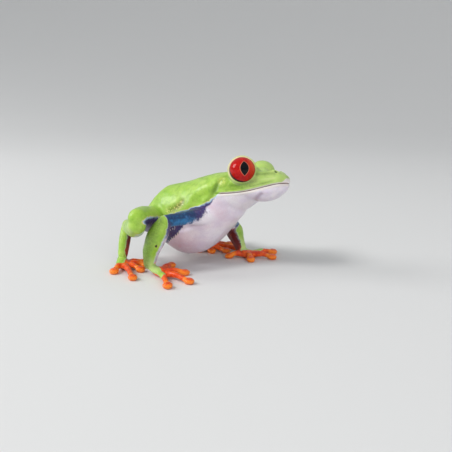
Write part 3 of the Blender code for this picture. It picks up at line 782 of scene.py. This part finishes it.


# Direction that the green of each limb faces, how much of its girth is bare of green, and what lies under it:
# blue, orange and red shares at its root and at its end.
# The red share is painted shade on the far forearm, the shanks, the tarsi and the feet, which lie hidden from the
# light.
LIMB_LOOKS = {
    ("upper_arm", "right"): ((0.0, -0.2, 1.0), 1.6, (1.0, 0.0, 0.0), (1.0, 0.0, 0.0)),
    ("upper_arm", "left"): ((0.0, 0.2, 1.0), 1.2, (1.0, 0.0, 0.0), (1.0, 0.0, 0.0)),
    ("forearm", "right"): ((-0.49, -0.86, 0.12), -0.05, (0.42, 0.0, 0.0), (0.25, 0.3, 0.2)),
    ("forearm", "left"): ((0.55, 0.80, 0.25), 0.0, (0.5, 0.3, 0.8), (0.1, 0.8, 1.0)),
    ("thigh", "right"): ((-0.2, -0.3, 1.0), -0.05, (1.3, 0.0, 0.2), (1.3, 0.0, 0.2)),
    ("thigh", "left"): ((-0.2, 0.3, 1.0), -0.05, (1.3, 0.0, 0.2), (1.3, 0.0, 0.2)),
    ("shank", "right"): ((0.1, -0.45, 0.9), -0.62, (0.2, 0.5, 1.0), (0.0, 0.6, 1.0)),
    ("shank", "left"): ((0.0, 0.45, 0.9), -0.35, (0.2, 0.5, 1.0), (0.0, 0.6, 1.0)),
    ("tarsus", "right"): ((-0.55, -0.78, 0.1), 0.15, (0.0, 0.6, 1.0), (0.0, 1.0, 0.6)),
    ("tarsus", "left"): ((-0.2, 0.75, 0.6), 0.15, (0.0, 0.6, 1.0), (0.0, 1.0, 0.6)),
}


def limb_fields(points, name, side):
    """Distance outside a limb's surface, and its colour fields."""
    rows = LIMBS[name, side]
    gap, share, out = follow(points, rows)
    facing, bare, root, end = LIMB_LOOKS[name, side]
    blue, orange, red = np.array(root)[:, None] + (np.array(end) - np.array(root))[:, None] * share
    upward = out[:, 2]
    none = 0 * share
    violet = none + 1.2
    deep = none + 1.0
    if name == "upper_arm":
        blue = blue * fade(upward - 0.4 + (share - 0.3) * 3, -0.9, 0.6) * fade(share + 0.2 * upward, 0.0, 0.45)
        violet = 0.95 * fade(share, 0.85, 0.2)
        # Darker navy on top and towards the shoulder: painted shade under the flank's green edge.
        deep = 0.25 + 0.6 * fade(upward, -0.2, 0.8) + 0.4 * fade(share, 0.75, 0.4)
    if name == "forearm":
        blue = blue + 0.8 * fade(share, 0.35, 0.05)
    green = (out @ unit(facing) - bare) * rows[:, 3].mean()
    return gap, {"green": green, "blue": blue, "orange": orange, "red": red, "pink": none, "bars": none, "deep": deep,
                 "violet": violet}


def paw_fields(points, plan, is_hand):
    """Distance outside a hand's or foot's surface, and its colour fields: green from the wrist to the outer edge."""
    palm_rows, digits, _ = paw_plan(plan)
    gap = nearest_gap(points, [palm_rows] + digits)
    wrist = np.array(plan[0])
    outer = np.array((*plan[2][-1], PAD_Z))
    edge = wrist + (outer - wrist) * (0.5 if is_hand else 0.35)
    beside = from_path(points, [wrist + (0, 0, 1.0), edge + (0, 0, 0.6)])
    from_wrist = lengths(points - wrist)
    fields = dict.fromkeys(("green", "blue", "orange", "red", "pink", "bars", "deep", "violet"), 0 * gap)
    fields["green"] = 1.5 - beside + 0.3 * (points[:, 2] - 2.0)
    fields["orange"] = 0 * gap + 1
    # Dark red from the wrist or ankle: painted shade on the feet, the palm's own deeper red on the hands.
    fields["red"] = fade(from_wrist, 6.5, 1.0) * (0.35 if is_hand else 1.0)
    return gap, fields


def colour_fields(points, body):
    """Each colour field as the mean of the regions' own, weighed by how near each region's surface is."""
    regions = [(body_gap(points, body), body_fields(points))]
    for name, side in LIMBS:
        regions.append(limb_fields(points, name, side))
    for side in SIDES:
        regions.append(paw_fields(points, HAND[side], True))
        regions.append(paw_fields(points, FOOT[side], False))
    gaps = np.array([gap for gap, _ in regions])
    weights = np.exp(-(gaps - gaps.min(axis=0)) / BLEND)
    weights /= weights.sum(axis=0)
    fields = {}
    for name in regions[0][1]:
        fields[name] = sum(weight * values[name] for weight, (_, values) in zip(weights, regions))
    return fields


def mark_fields(points):
    """Fields of the small marks: lids, lips, ears, toe pads, painted shade in creases, folds and hollows, a painted
    highlight along the lip and the place along the flank.
    """
    place = face_place(points)
    u, _, w = place.T
    lip = w - mouth_height(u)
    lids, ears = [], []
    # Painted shade in the throat's crease and along the belly's fold.
    folds = [hump(throat_distance(points), 0.4)]
    # Paler skin on the face, round the lids and at the wrists, and a painted highlight along the lip.
    pales = [0.5 * fade(u, -3.0, 3.0), 0.95 * hump(from_path(place, LIP_HIGHLIGHT), 0.55)]
    # Painted shade, darker olive: over the lip, under the canthus ridge, along the mouth, round the eardrums, along
    # the folds behind the ears and over the right forearm.
    painted_shades = [
        0.75 * hump(from_path(place, LIP_SHADE), 0.8),
        0.6 * hump(from_path(place, LORE_SHADE), 0.6),
        0.55 * hump(lip - 1.2, 0.28) * fade(u, MOUTH_CORNER_U, -5) * fade(u, 10.5, 8),
    ]
    for side, sign in SIDES.items():
        distance, direction, angle = lid_angles(points, side)
        rear = fade(direction @ HEAD_TURN[:, 0], 0.2, -0.6)
        near = fade(distance, ORBIT_RADIUS[side] + 0.5, ORBIT_RADIUS[side] + 0.2)
        edge = EYE_RADIUS + 0.30 + 0.12 * rear
        cream = 0.15 + 0.85 * fade(direction @ HEAD_TURN @ unit((-0.6, 0, 0.8)), -0.5, 0.4)
        lids.append(cream * fade(distance, edge + 0.12, edge - 0.06) * fade(angle, 7, 4))
        pales.append(fade(angle, 14 + 8 * rear, 5) * fade(angle, -3, 1) * near * (0.35 + 0.65 * rear))
        from_wrist = lengths(points - np.array(HAND[side][0]))
        pales.append(0.75 * fade(from_wrist, 6.5, 2.5))
        from_ear = ear_distance(points, sign)
        ears.append(fade(from_ear, TYMPANUM_RADIUS + 0.3, TYMPANUM_RADIUS - 0.7))
        painted_shades.append(0.35 * hump(from_ear - TYMPANUM_RADIUS - 0.3, 0.5))
        painted_shades.append(hump(from_path(points, mirrored(FOLD, sign)), 0.85))
        folds.append(0.7 * hump(from_path(points, mirrored(BELLY_FOLD, sign)), 0.5))
    # Painted shade over the green outer side of the right forearm.
    gap, _, out = follow(points, LIMBS["forearm", "right"])
    painted_shades.append(0.8 * fade(gap, 1.0, 0.4) * fade(out @ unit(LIMB_LOOKS["forearm", "right"][0]), 0.2, 0.9))
    off_thigh = fade(nearest_gap(points, [LIMBS["thigh", side] for side in SIDES]), 0.4, 1.2)
    pads = [lengths(points - centre) for plan in PLANS for centre, _ in paw_plan(plan)[2]]
    return {
        "lid": np.max(lids, axis=0),
        "pale": np.max(pales, axis=0),
        # crease: painted shade in creases and folds and over the right forearm.
        "crease": np.max(painted_shades, axis=0),
        "ear": np.max(ears, axis=0),
        "nostril": lengths(place - NOSTRIL_AT),
        "lip": lip,
        "pad": np.min(pads, axis=0),
        "spot": lengths((points - SPOT_AT) / SPOT_STRETCH),
        "mouth": fade(u, MOUTH_CORNER_U - 0.6, MOUTH_CORNER_U + 0.8),
        # fold: painted shade in the throat's crease and the belly's fold.
        "fold": np.max(folds, axis=0),
        # dip: painted shade in the hollow behind the shoulder ridge.
        "dip": hump(side_distance(points, FLANK_DIP), 1.1) * off_thigh,
        "specks": hump(side_distance(points, FLANK_SPECKS), 1.2) * off_thigh,
        "tip": fade(u, 11.6, 13.2),
        "along": points[:, 0],
    }


class Paint:
    """A material and short ways to its nodes. All that varies is worked out from Object coordinates or fields."""

    def __init__(self, name):
        self.material = bpy.data.materials.new(name)
        self.material.use_nodes = True
        self.nodes = self.material.node_tree.nodes
        self.shader = self.nodes["Principled BSDF"]
        self.place = self.node("TexCoord").outputs["Object"]

    def join(self, value, socket):
        if isinstance(value, bpy.types.NodeSocket):
            self.material.node_tree.links.new(value, socket)
        else:
            socket.default_value = value

    def set(self, node, **values):
        for name, value in values.items():
            self.join(value, node.inputs[name.replace("_", " ")])

    def node(self, kind, **values):
        node = self.nodes.new("ShaderNode" + kind)
        self.set(node, **values)
        return node

    def field(self, name, output="Fac"):
        node = self.node("Attribute")
        node.attribute_type = "GEOMETRY"
        node.attribute_name = name
        return node.outputs[output]

    def noise(self, size_mm, detail=3.0):
        node = self.node("TexNoise", Vector=self.place, Scale=1 / (size_mm * MM), Detail=detail, Roughness=0.55)
        return node.outputs["Fac"]

    def cells(self, size_mm):
        return self.node("TexVoronoi", Vector=self.place, Scale=1 / (size_mm * MM)).outputs["Distance"]

    def maths(self, operation, *values):
        node = self.node("Math")
        node.operation = operation
        for value, socket in zip(values, node.inputs):
            self.join(value, socket)
        return node.outputs[0]

    def span(self, value, start, end, low=0.0, high=1.0):
        """low where value is start, high where it is end, and smooth between them."""
        node = self.node("MapRange", Value=value, From_Min=start, From_Max=end, To_Min=low, To_Max=high)
        node.interpolation_type = "SMOOTHSTEP"
        return node.outputs["Result"]

    def mix(self, share, first, second):
        node = self.node("Mix")
        node.data_type = "RGBA"
        self.join(share, node.inputs["Factor"])
        for value, socket in zip((first, second), node.inputs[6:8]):
            self.join((*value, 1) if isinstance(value, tuple) else value, socket)
        return node.outputs[2]

    def layers(self, base, *coats):
        """Lays each coat's colour over those before it, by its share."""
        for share, colour in coats:
            base = self.mix(share, base, colour)
        return base

    def both(self, first, second):
        return self.maths("MULTIPLY", first, second)

    def plus(self, first, second):
        return self.maths("ADD", first, second)

    def bump(self, height, depth_mm, normal):
        node = self.node("Bump", Strength=1.0, Distance=depth_mm * MM, Height=height)
        if normal is not None:
            self.join(normal, node.inputs["Normal"])
        return node.outputs["Normal"]


# Colours as linear red, green and blue.
GREEN = (0.27, 0.50, 0.028)
GREEN_LIGHT = (0.42, 0.62, 0.10)
GREEN_DEEP = (0.12, 0.29, 0.006)
GREEN_FLECK = (0.66, 0.78, 0.26)
GREEN_GRAIN = (0.62, 0.80, 0.30)
# Paler skin, also used for a painted highlight along the lip.
GREEN_PALE = (0.58, 0.68, 0.30)
GREEN_EDGE_TINT = (0.42, 0.66, 0.28)
# Darker olives for painted shade in creases, folds and hollows.
OLIVE = (0.045, 0.10, 0.004)
DIP_SHADE = (0.15, 0.17, 0.008)
SPECK_YELLOW = (0.80, 0.74, 0.26)
EAR_LIGHT = (0.50, 0.60, 0.10)
EAR_DARK = (0.22, 0.36, 0.02)
EAR_FLECK = (0.66, 0.72, 0.24)
GOLD = (0.80, 0.60, 0.18)
ICE = (0.46, 0.68, 0.80)
BLUE = (0.003, 0.024, 0.090)
BLUE_FLECK = (0.03, 0.20, 0.40)
SKY = (0.002, 0.145, 0.36)
VIOLET = (0.048, 0.018, 0.115)
TICK = (0.86, 0.80, 0.66)
BELLY = (0.72, 0.66, 0.76)
BELLY_WHITE = (0.84, 0.80, 0.84)
BELLY_PINK = (0.68, 0.45, 0.52)
BELLY_GRAIN = (0.55, 0.40, 0.55)
FOLD_SHADE = (0.30, 0.18, 0.26)
LID = (0.84, 0.70, 0.44)
LIP = (0.76, 0.70, 0.68)
MOUTH_DARK = (0.11, 0.03, 0.022)
# Painted shade inside the nostrils.
NOSTRIL_SHADE = (0.01, 0.006, 0.004)
SPOT_DARK = (0.02, 0.012, 0.006)
ORANGE = (0.88, 0.115, 0.003)
ORANGE_LIGHT = (0.98, 0.27, 0.012)
ORANGE_DEEP = (0.66, 0.036, 0.003)
# Partly painted shade on the legs' hidden sides, partly the palms' own deeper red.
DARK_RED = (0.12, 0.005, 0.003)
IRIS_DEEP = (0.36, 0.002, 0.003)
IRIS_RED = (0.50, 0.008, 0.005)
IRIS_FIBRE = (0.74, 0.05, 0.015)
IRIS_WARM = (0.72, 0.10, 0.02)
IRIS_SHADE = (0.020, 0.004, 0.022)
IRIS_RING = (0.80, 0.28, 0.16)
PUPIL = (0.002, 0.002, 0.003)
PUPIL_HALF = (0.30, 0.53)  # half width and height as shares of the eyeball's radius
SCATTER = (1.0, 0.5, 0.3)  # reach of red, green and blue light in the skin


def skin_paint():
    """The frog's skin: belly and blue flanks, orange digits and green back, then the small marks over them. Painted
    shade darkens creases, hollows and sides hidden from the light, and a painted highlight runs along the lip.
    """
    paint = Paint("frog_skin")
    field, span, mix, both, plus = paint.field, paint.span, paint.mix, paint.both, paint.plus
    wide = paint.noise(6.0)
    middle = paint.noise(1.6)
    fine = paint.noise(0.45, 2.0)
    grains = paint.cells(0.42)

    def uneven(value, noise, size):
        return plus(value, span(noise, 0.2, 0.8, -size, size))

    green = uneven(field("green"), middle, 0.35)
    belly = paint.layers(
        BELLY,
        (span(wide, 0.35, 0.65), BELLY_WHITE),
        (both(field("pink"), span(middle, 0.2, 0.8, 0.5, 1.0)), BELLY_PINK),
        (span(grains, 0.1, 0.7, 0.0, 0.16), BELLY_GRAIN),
    )
    patch = plus(field("violet"), span(wide, 0.3, 0.7, -0.35, 0.35))
    # Higher deep gives darker navy; on the upper arm it carries painted shade under the flank's green edge.
    deep = plus(field("deep"), span(middle, 0.25, 0.75, -0.35, 0.35))
    blues = paint.layers(
        BLUE,
        (span(deep, 0.9, 0.1), SKY),
        (span(middle, 0.55, 0.8, 0.0, 0.35), SKY),
        (span(patch, 0.15, 0.95), VIOLET),
        (span(fine, 0.4, 0.8, 0.0, 0.25), BLUE_FLECK),
    )
    ragged = uneven(span(middle, 0.2, 0.8, -0.3, 0.3), fine, 0.12)
    blue = plus(field("blue"), both(ragged, span(field("blue"), 0.02, 0.3)))

    # Pale upright ticks in the lower edge of the blue.
    bars = paint.maths("SINE", plus(both(field("along"), 6.5), both(middle, 7.0)))
    band = both(span(blue, 0.95, 0.7), span(blue, 0.15, 0.4))
    below_green = both(field("bars"), span(green, -2.5, -4.5))

    rim = both(span(field("pad"), 1.2, 1.75), span(field("pad"), 3.0, 1.9, 0.0, 0.85))
    orange = paint.layers(
        ORANGE,
        (span(middle, 0.35, 0.7), ORANGE_DEEP),
        (span(fine, 0.55, 0.75, 0.0, 0.5), ORANGE_LIGHT),
        (rim, ORANGE_LIGHT),
        # Dark red over the orange: painted shade on the legs' hidden sides, the far forearm and the feet, and the
        # palms' own deeper red.
        (span(uneven(field("red"), middle, 0.2), 0.2, 0.95), DARK_RED),
    )
    ear = paint.layers(EAR_LIGHT, (span(middle, 0.35, 0.65), EAR_DARK), (span(fine, 0.5, 0.7, 0.0, 0.6), EAR_FLECK))
    specks = both(span(fine, 0.46, 0.66), span(field("specks"), 0.1, 0.8))
    greens = paint.layers(
        GREEN,
        (span(wide, 0.3, 0.7), GREEN_LIGHT),
        (span(middle, 0.55, 0.3, 0.0, 0.38), GREEN_DEEP),
        (span(fine, 0.62, 0.8, 0.0, 0.30), GREEN_FLECK),
        (span(grains, 0.30, 0.05, 0.0, 0.16), GREEN_GRAIN),
        # Paler skin, with a painted highlight along the lip.
        (both(field("pale"), 0.75), GREEN_PALE),
        # Painted shade in creases and folds and over the right forearm.
        (both(field("crease"), span(fine, 0.2, 0.8, 0.6, 1.0)), OLIVE),
        # Painted shade, darker olive in the hollow behind the shoulder ridge.
        (both(field("dip"), span(middle, 0.25, 0.6, 0.45, 0.95)), DIP_SHADE),
        (both(specks, 0.75), SPECK_YELLOW),
        (both(field("ear"), 0.85), ear),
    )
    # Ice-blue border and gold line between the green and what lies below it.
    patchy = span(wide, 0.38, 0.62, 0.15, 0.95)
    border = both(span(green, -1.15, -0.4), span(field("orange"), 0.9, 0.5))
    edge = mix(both(patchy, span(field("blue"), 0.3, 0.7)), GREEN_EDGE_TINT, GOLD)

    lip, mouth, tip = field("lip"), field("mouth"), field("tip")
    raised = paint.maths("SUBTRACT", lip, both(tip, 1.4))
    raised = plus(raised, both(tip, span(fine, 0.2, 0.8, -0.4, 0.4)))
    cream_lip = both(span(lip, -1.3, -0.6), span(raised, 0.62, 0.12))
    line = both(span(lip, -0.18, -0.04), span(lip, 0.20, 0.06))
    colour = paint.layers(
        belly,
        (span(blue, 0.12, 0.85), blues),
        # Painted shade in the throat's crease and the belly's fold.
        (both(field("fold"), 0.55), FOLD_SHADE),
        (both(both(span(bars, 0.55, 0.9), band), below_green), TICK),
        (span(field("orange"), 0.25, 0.6), orange),
        (both(border, patchy), ICE),
        (span(green, -0.45, -0.1), edge),
        (span(green, -0.25, 0.25), greens),
        (field("lid"), LID),
        (both(cream_lip, mouth), LIP),
        (both(line, mouth), MOUTH_DARK),
        # Painted shade inside the nostrils.
        (span(field("nostril"), 0.72, 0.36), NOSTRIL_SHADE),
        (span(uneven(field("spot"), middle, 0.25), 0.62, 0.38), SPOT_DARK),
    )
    normal = None
    for height, depth in ((grains, 0.065), (fine, 0.03), (middle, 0.06)):
        normal = paint.bump(height, depth, normal)
    paint.set(
        paint.shader, Base_Color=colour, Normal=normal, Roughness=span(fine, 0.2, 0.8, 0.30, 0.48),
        Subsurface_Weight=0.12, Subsurface_Scale=0.0012, Subsurface_Radius=SCATTER,
        Coat_Weight=0.28, Coat_Roughness=0.2,
    )
    return paint.material


def eye_paint():
    """Red iris with fibres, an upright slit pupil with a pale ring, and a dark edge below and behind it."""
    paint = Paint("frog_eye")
    span, both, plus, maths = paint.span, paint.both, paint.plus, paint.maths
    across, up, ahead = paint.node("SeparateXYZ", Vector=paint.field("gaze", "Vector")).outputs
    radius = maths("SQRT", plus(both(across, across), both(up, up)))
    angle = maths("ARCTAN2", up, across)
    spoke = paint.node(
        "CombineXYZ", X=both(maths("COSINE", angle), 5.0), Y=both(maths("SINE", angle), 5.0), Z=both(radius, 1.4)
    )
    fibres = paint.node("TexNoise", Vector=spoke.outputs[0], Scale=2.4, Detail=4.0).outputs["Fac"]
    warm = both(span(across, 0.1, 0.6), span(up, -0.6, 0.2))
    rear_low = span(plus(both(across, -0.75), both(up, -0.66)), 0.25, 0.95, 0.0, 13.0)
    half_width, half_height = PUPIL_HALF
    slit = plus(maths("ABSOLUTE", both(across, 1 / half_width)), maths("POWER", both(up, 1 / half_height), 2.0))
    colour = paint.layers(
        IRIS_DEEP,
        (span(fibres, 0.3, 0.7), IRIS_RED),
        (both(span(fibres, 0.45, 0.75), span(radius, 0.8, 0.45, 0.0, 0.32)), IRIS_FIBRE),
        (both(warm, 0.55), IRIS_WARM),
        (span(plus(paint.field("lid_gap"), rear_low), -8.5, -1.0, 0.0, 0.96), IRIS_SHADE),
        (span(slit, 1.26, 1.08, 0.0, 0.7), IRIS_RING),
        (both(span(slit, 1.10, 1.0), span(ahead, 0.0, 0.1)), PUPIL),
    )
    paint.set(
        paint.shader, Base_Color=colour, Roughness=span(fibres, 0.3, 0.7, 0.42, 0.55), Specular_IOR_Level=0.0,
        Coat_Weight=0.75, Coat_Roughness=0.02, Coat_IOR=1.38,
    )
    return paint.material


def add_field(mesh, name, values):
    layer = mesh.attributes.new(name, "FLOAT", "POINT")
    layer.data.foreach_set("value", np.asarray(values, np.float32))


def to_frame(mesh):
    """Moves a mesh from the plan in millimetres to the frame in metres."""
    place_points(mesh, (points_of(mesh) + SHIFT) * MM)


def show(name, mesh, paint, nodes):
    """Makes a piece of the mesh that rides on the frog and stands for these nodes."""
    mesh.materials.clear()
    mesh.materials.append(paint)
    mesh.shade_smooth()
    piece = bpy.data.objects.new(name, mesh)
    link(piece)
    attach(piece, "root")
    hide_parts(*nodes)


def make_skin():
    body = flesh_mesh([body_forms])
    mesh = remeshed(flesh_mesh([body_forms, limb_forms]))
    smooth_joins(mesh)
    refined(mesh, fine_places(points_of(mesh)))
    points = points_of(mesh)
    points = sculpt_head(points, normals_of(mesh))
    points = sculpt_limbs(points, normals_of(mesh))
    place_points(mesh, sculpt_lids(points))
    points = points_of(mesh)
    fields = colour_fields(points, body) | mark_fields(points)
    points = points + normals_of(mesh) * (RIPPLE * ripple(points, RIPPLE_SIZE, RIPPLE_SEED))[:, None]
    low, high = (np.array(corner) / MM - SHIFT for corner in CAD_BOX)
    place_points(mesh, np.clip(points, low + BOX_MARGIN, high - BOX_MARGIN))
    bpy.data.meshes.remove(body)
    for name, values in fields.items():
        add_field(mesh, name, values)
    to_frame(mesh)
    mesh.name = "skin"
    show("skin", mesh, skin_paint(), FLESH)


def make_eye(side, paint):
    """Eyeball with a slight bulge in front of the pupil."""
    centre = eye_centre(side)
    ahead = head_direction(side, GAZE_FORWARD, GAZE_UP)
    up = unit(np.array((0, 0, 1.0)) - ahead * ahead[2])
    across = np.cross(up, ahead)
    maker = bmesh.new()
    bmesh.ops.create_uvsphere(maker, u_segments=72, v_segments=48, radius=EYE_RADIUS)
    mesh = mesh_from(maker, f"eyeball_{side}")
    local = points_of(mesh) / EYE_RADIUS
    bulge = 1 + CORNEA_BULGE * fade(local[:, 2], 0.55, 0.95)
    gaze = mesh.attributes.new("gaze", "FLOAT_VECTOR", "POINT")
    gaze.data.foreach_set("vector", (local * (-SIDES[side], 1, 1)).astype(np.float32).ravel())
    turn = np.array((across, up, ahead))
    place_points(mesh, centre + (local * EYE_RADIUS * bulge[:, None]) @ turn)
    add_field(mesh, "lid_gap", lid_angles(points_of(mesh), side)[2])
    to_frame(mesh)
    show(f"eyeball_{side}", mesh, paint, [f"eye_{side}"])


FLOOR_FLAT = 0.6  # metres from the middle to where the floor starts to rise
FLOOR_BEND = 2.0  # metres of radius of that rise
FLOOR_LEAN = 70  # degrees that the rise ends at
FLOOR_STEPS = 12


def floor_paint():
    paint = Paint("pale_floor")
    tint = paint.mix(paint.span(paint.noise(120.0), 0.3, 0.7, 0.0, 0.05), (0.72, 0.72, 0.71), (0.7, 0.7, 0.7))
    paint.set(paint.shader, Base_Color=tint, Roughness=0.6)
    return paint.material


def make_floor():
    """Pale floor that curves up into a low wall all round, far outside the camera's path."""
    maker = bmesh.new()
    profile = [(0.0, 0.0), (FLOOR_FLAT, 0.0)]
    for step in range(1, FLOOR_STEPS + 1):
        lean = math.radians(FLOOR_LEAN) * step / FLOOR_STEPS
        profile.append((FLOOR_FLAT + FLOOR_BEND * math.sin(lean), FLOOR_BEND * (1 - math.cos(lean))))
    verts = [maker.verts.new((reach, 0, rise)) for reach, rise in profile]
    edges = [maker.edges.new(pair) for pair in zip(verts, verts[1:])]
    bmesh.ops.spin(
        maker, geom=verts + edges, axis=(0, 0, 1), cent=(0, 0, 0), angle=math.tau, steps=96, use_merge=True
    )
    bmesh.ops.remove_doubles(maker, verts=maker.verts, dist=1e-5)
    bmesh.ops.recalc_face_normals(maker, faces=maker.faces)
    mesh = mesh_from(maker, "floor")
    mesh.shade_smooth()
    mesh.materials.append(floor_paint())
    floor = bpy.data.objects.new("floor", mesh)
    link(floor)


def add_light(name, place, target, size, power):
    data = bpy.data.lights.new(name, "AREA")
    data.shape = "DISK"
    data.size = size
    data.energy = power
    light = bpy.data.objects.new(name, data)
    light.location = place
    light.rotation_euler = (Vector(target) - Vector(place)).to_track_quat("-Z", "Y").to_euler()
    link(light)
    return light


CAMERA_YAW = 24  # degrees that the camera stands in front of square-on to the frog's right side
CAMERA_UP = 12  # degrees that it looks down
CAMERA_AWAY = 210
CAMERA_TARGET = (29.0, 0.0, 14.0)
PHOTO_WIDTH = 452
PHOTO_FOCAL = 585  # focal length in the photo's pixels
SENSOR = 36.0


def make_camera():
    yaw, up = math.radians(CAMERA_YAW), math.radians(CAMERA_UP)
    back = np.array((math.sin(yaw) * math.cos(up), -math.cos(yaw) * math.cos(up), math.sin(up)))
    data = bpy.data.cameras.new("camera")
    data.sensor_width = SENSOR
    data.lens = SENSOR * PHOTO_FOCAL / PHOTO_WIDTH
    data.clip_start = 0.005
    camera = bpy.data.objects.new("camera", data)
    camera.location = (np.array(CAMERA_TARGET) + SHIFT + back * CAMERA_AWAY) * MM
    camera.rotation_euler = Vector(-back).to_track_quat("-Z", "Y").to_euler()
    link(camera)
    bpy.context.scene.camera = camera


LIGHT_TARGET = (0.0, 0.0, 0.018)
# Lights: name, place, size, power and whether they show as highlights.
LIGHTS = (
    ("key", (-0.55, -0.70, 0.95), 0.40, 8.0, False),
    ("fill", (0.95, -0.85, 0.30), 0.80, 6.5, False),
    ("rim", (-0.92, -0.28, 0.55), 0.50, 4.2, True),
)


def light_scene():
    for name, place, size, power, shines in LIGHTS:
        add_light(name, place, LIGHT_TARGET, size, power).visible_glossy = shines
    world = bpy.data.worlds.new("studio")
    world.use_nodes = True
    background = world.node_tree.nodes["Background"]
    background.inputs["Color"].default_value = (0.80, 0.82, 0.85, 1)
    background.inputs["Strength"].default_value = 0.60
    bpy.context.scene.world = world
    bpy.context.scene.view_settings.view_transform = "Standard"


make_camera()
make_skin()
iris = eye_paint()
for eye_side in SIDES:
    make_eye(eye_side, iris)
make_floor()
light_scene()
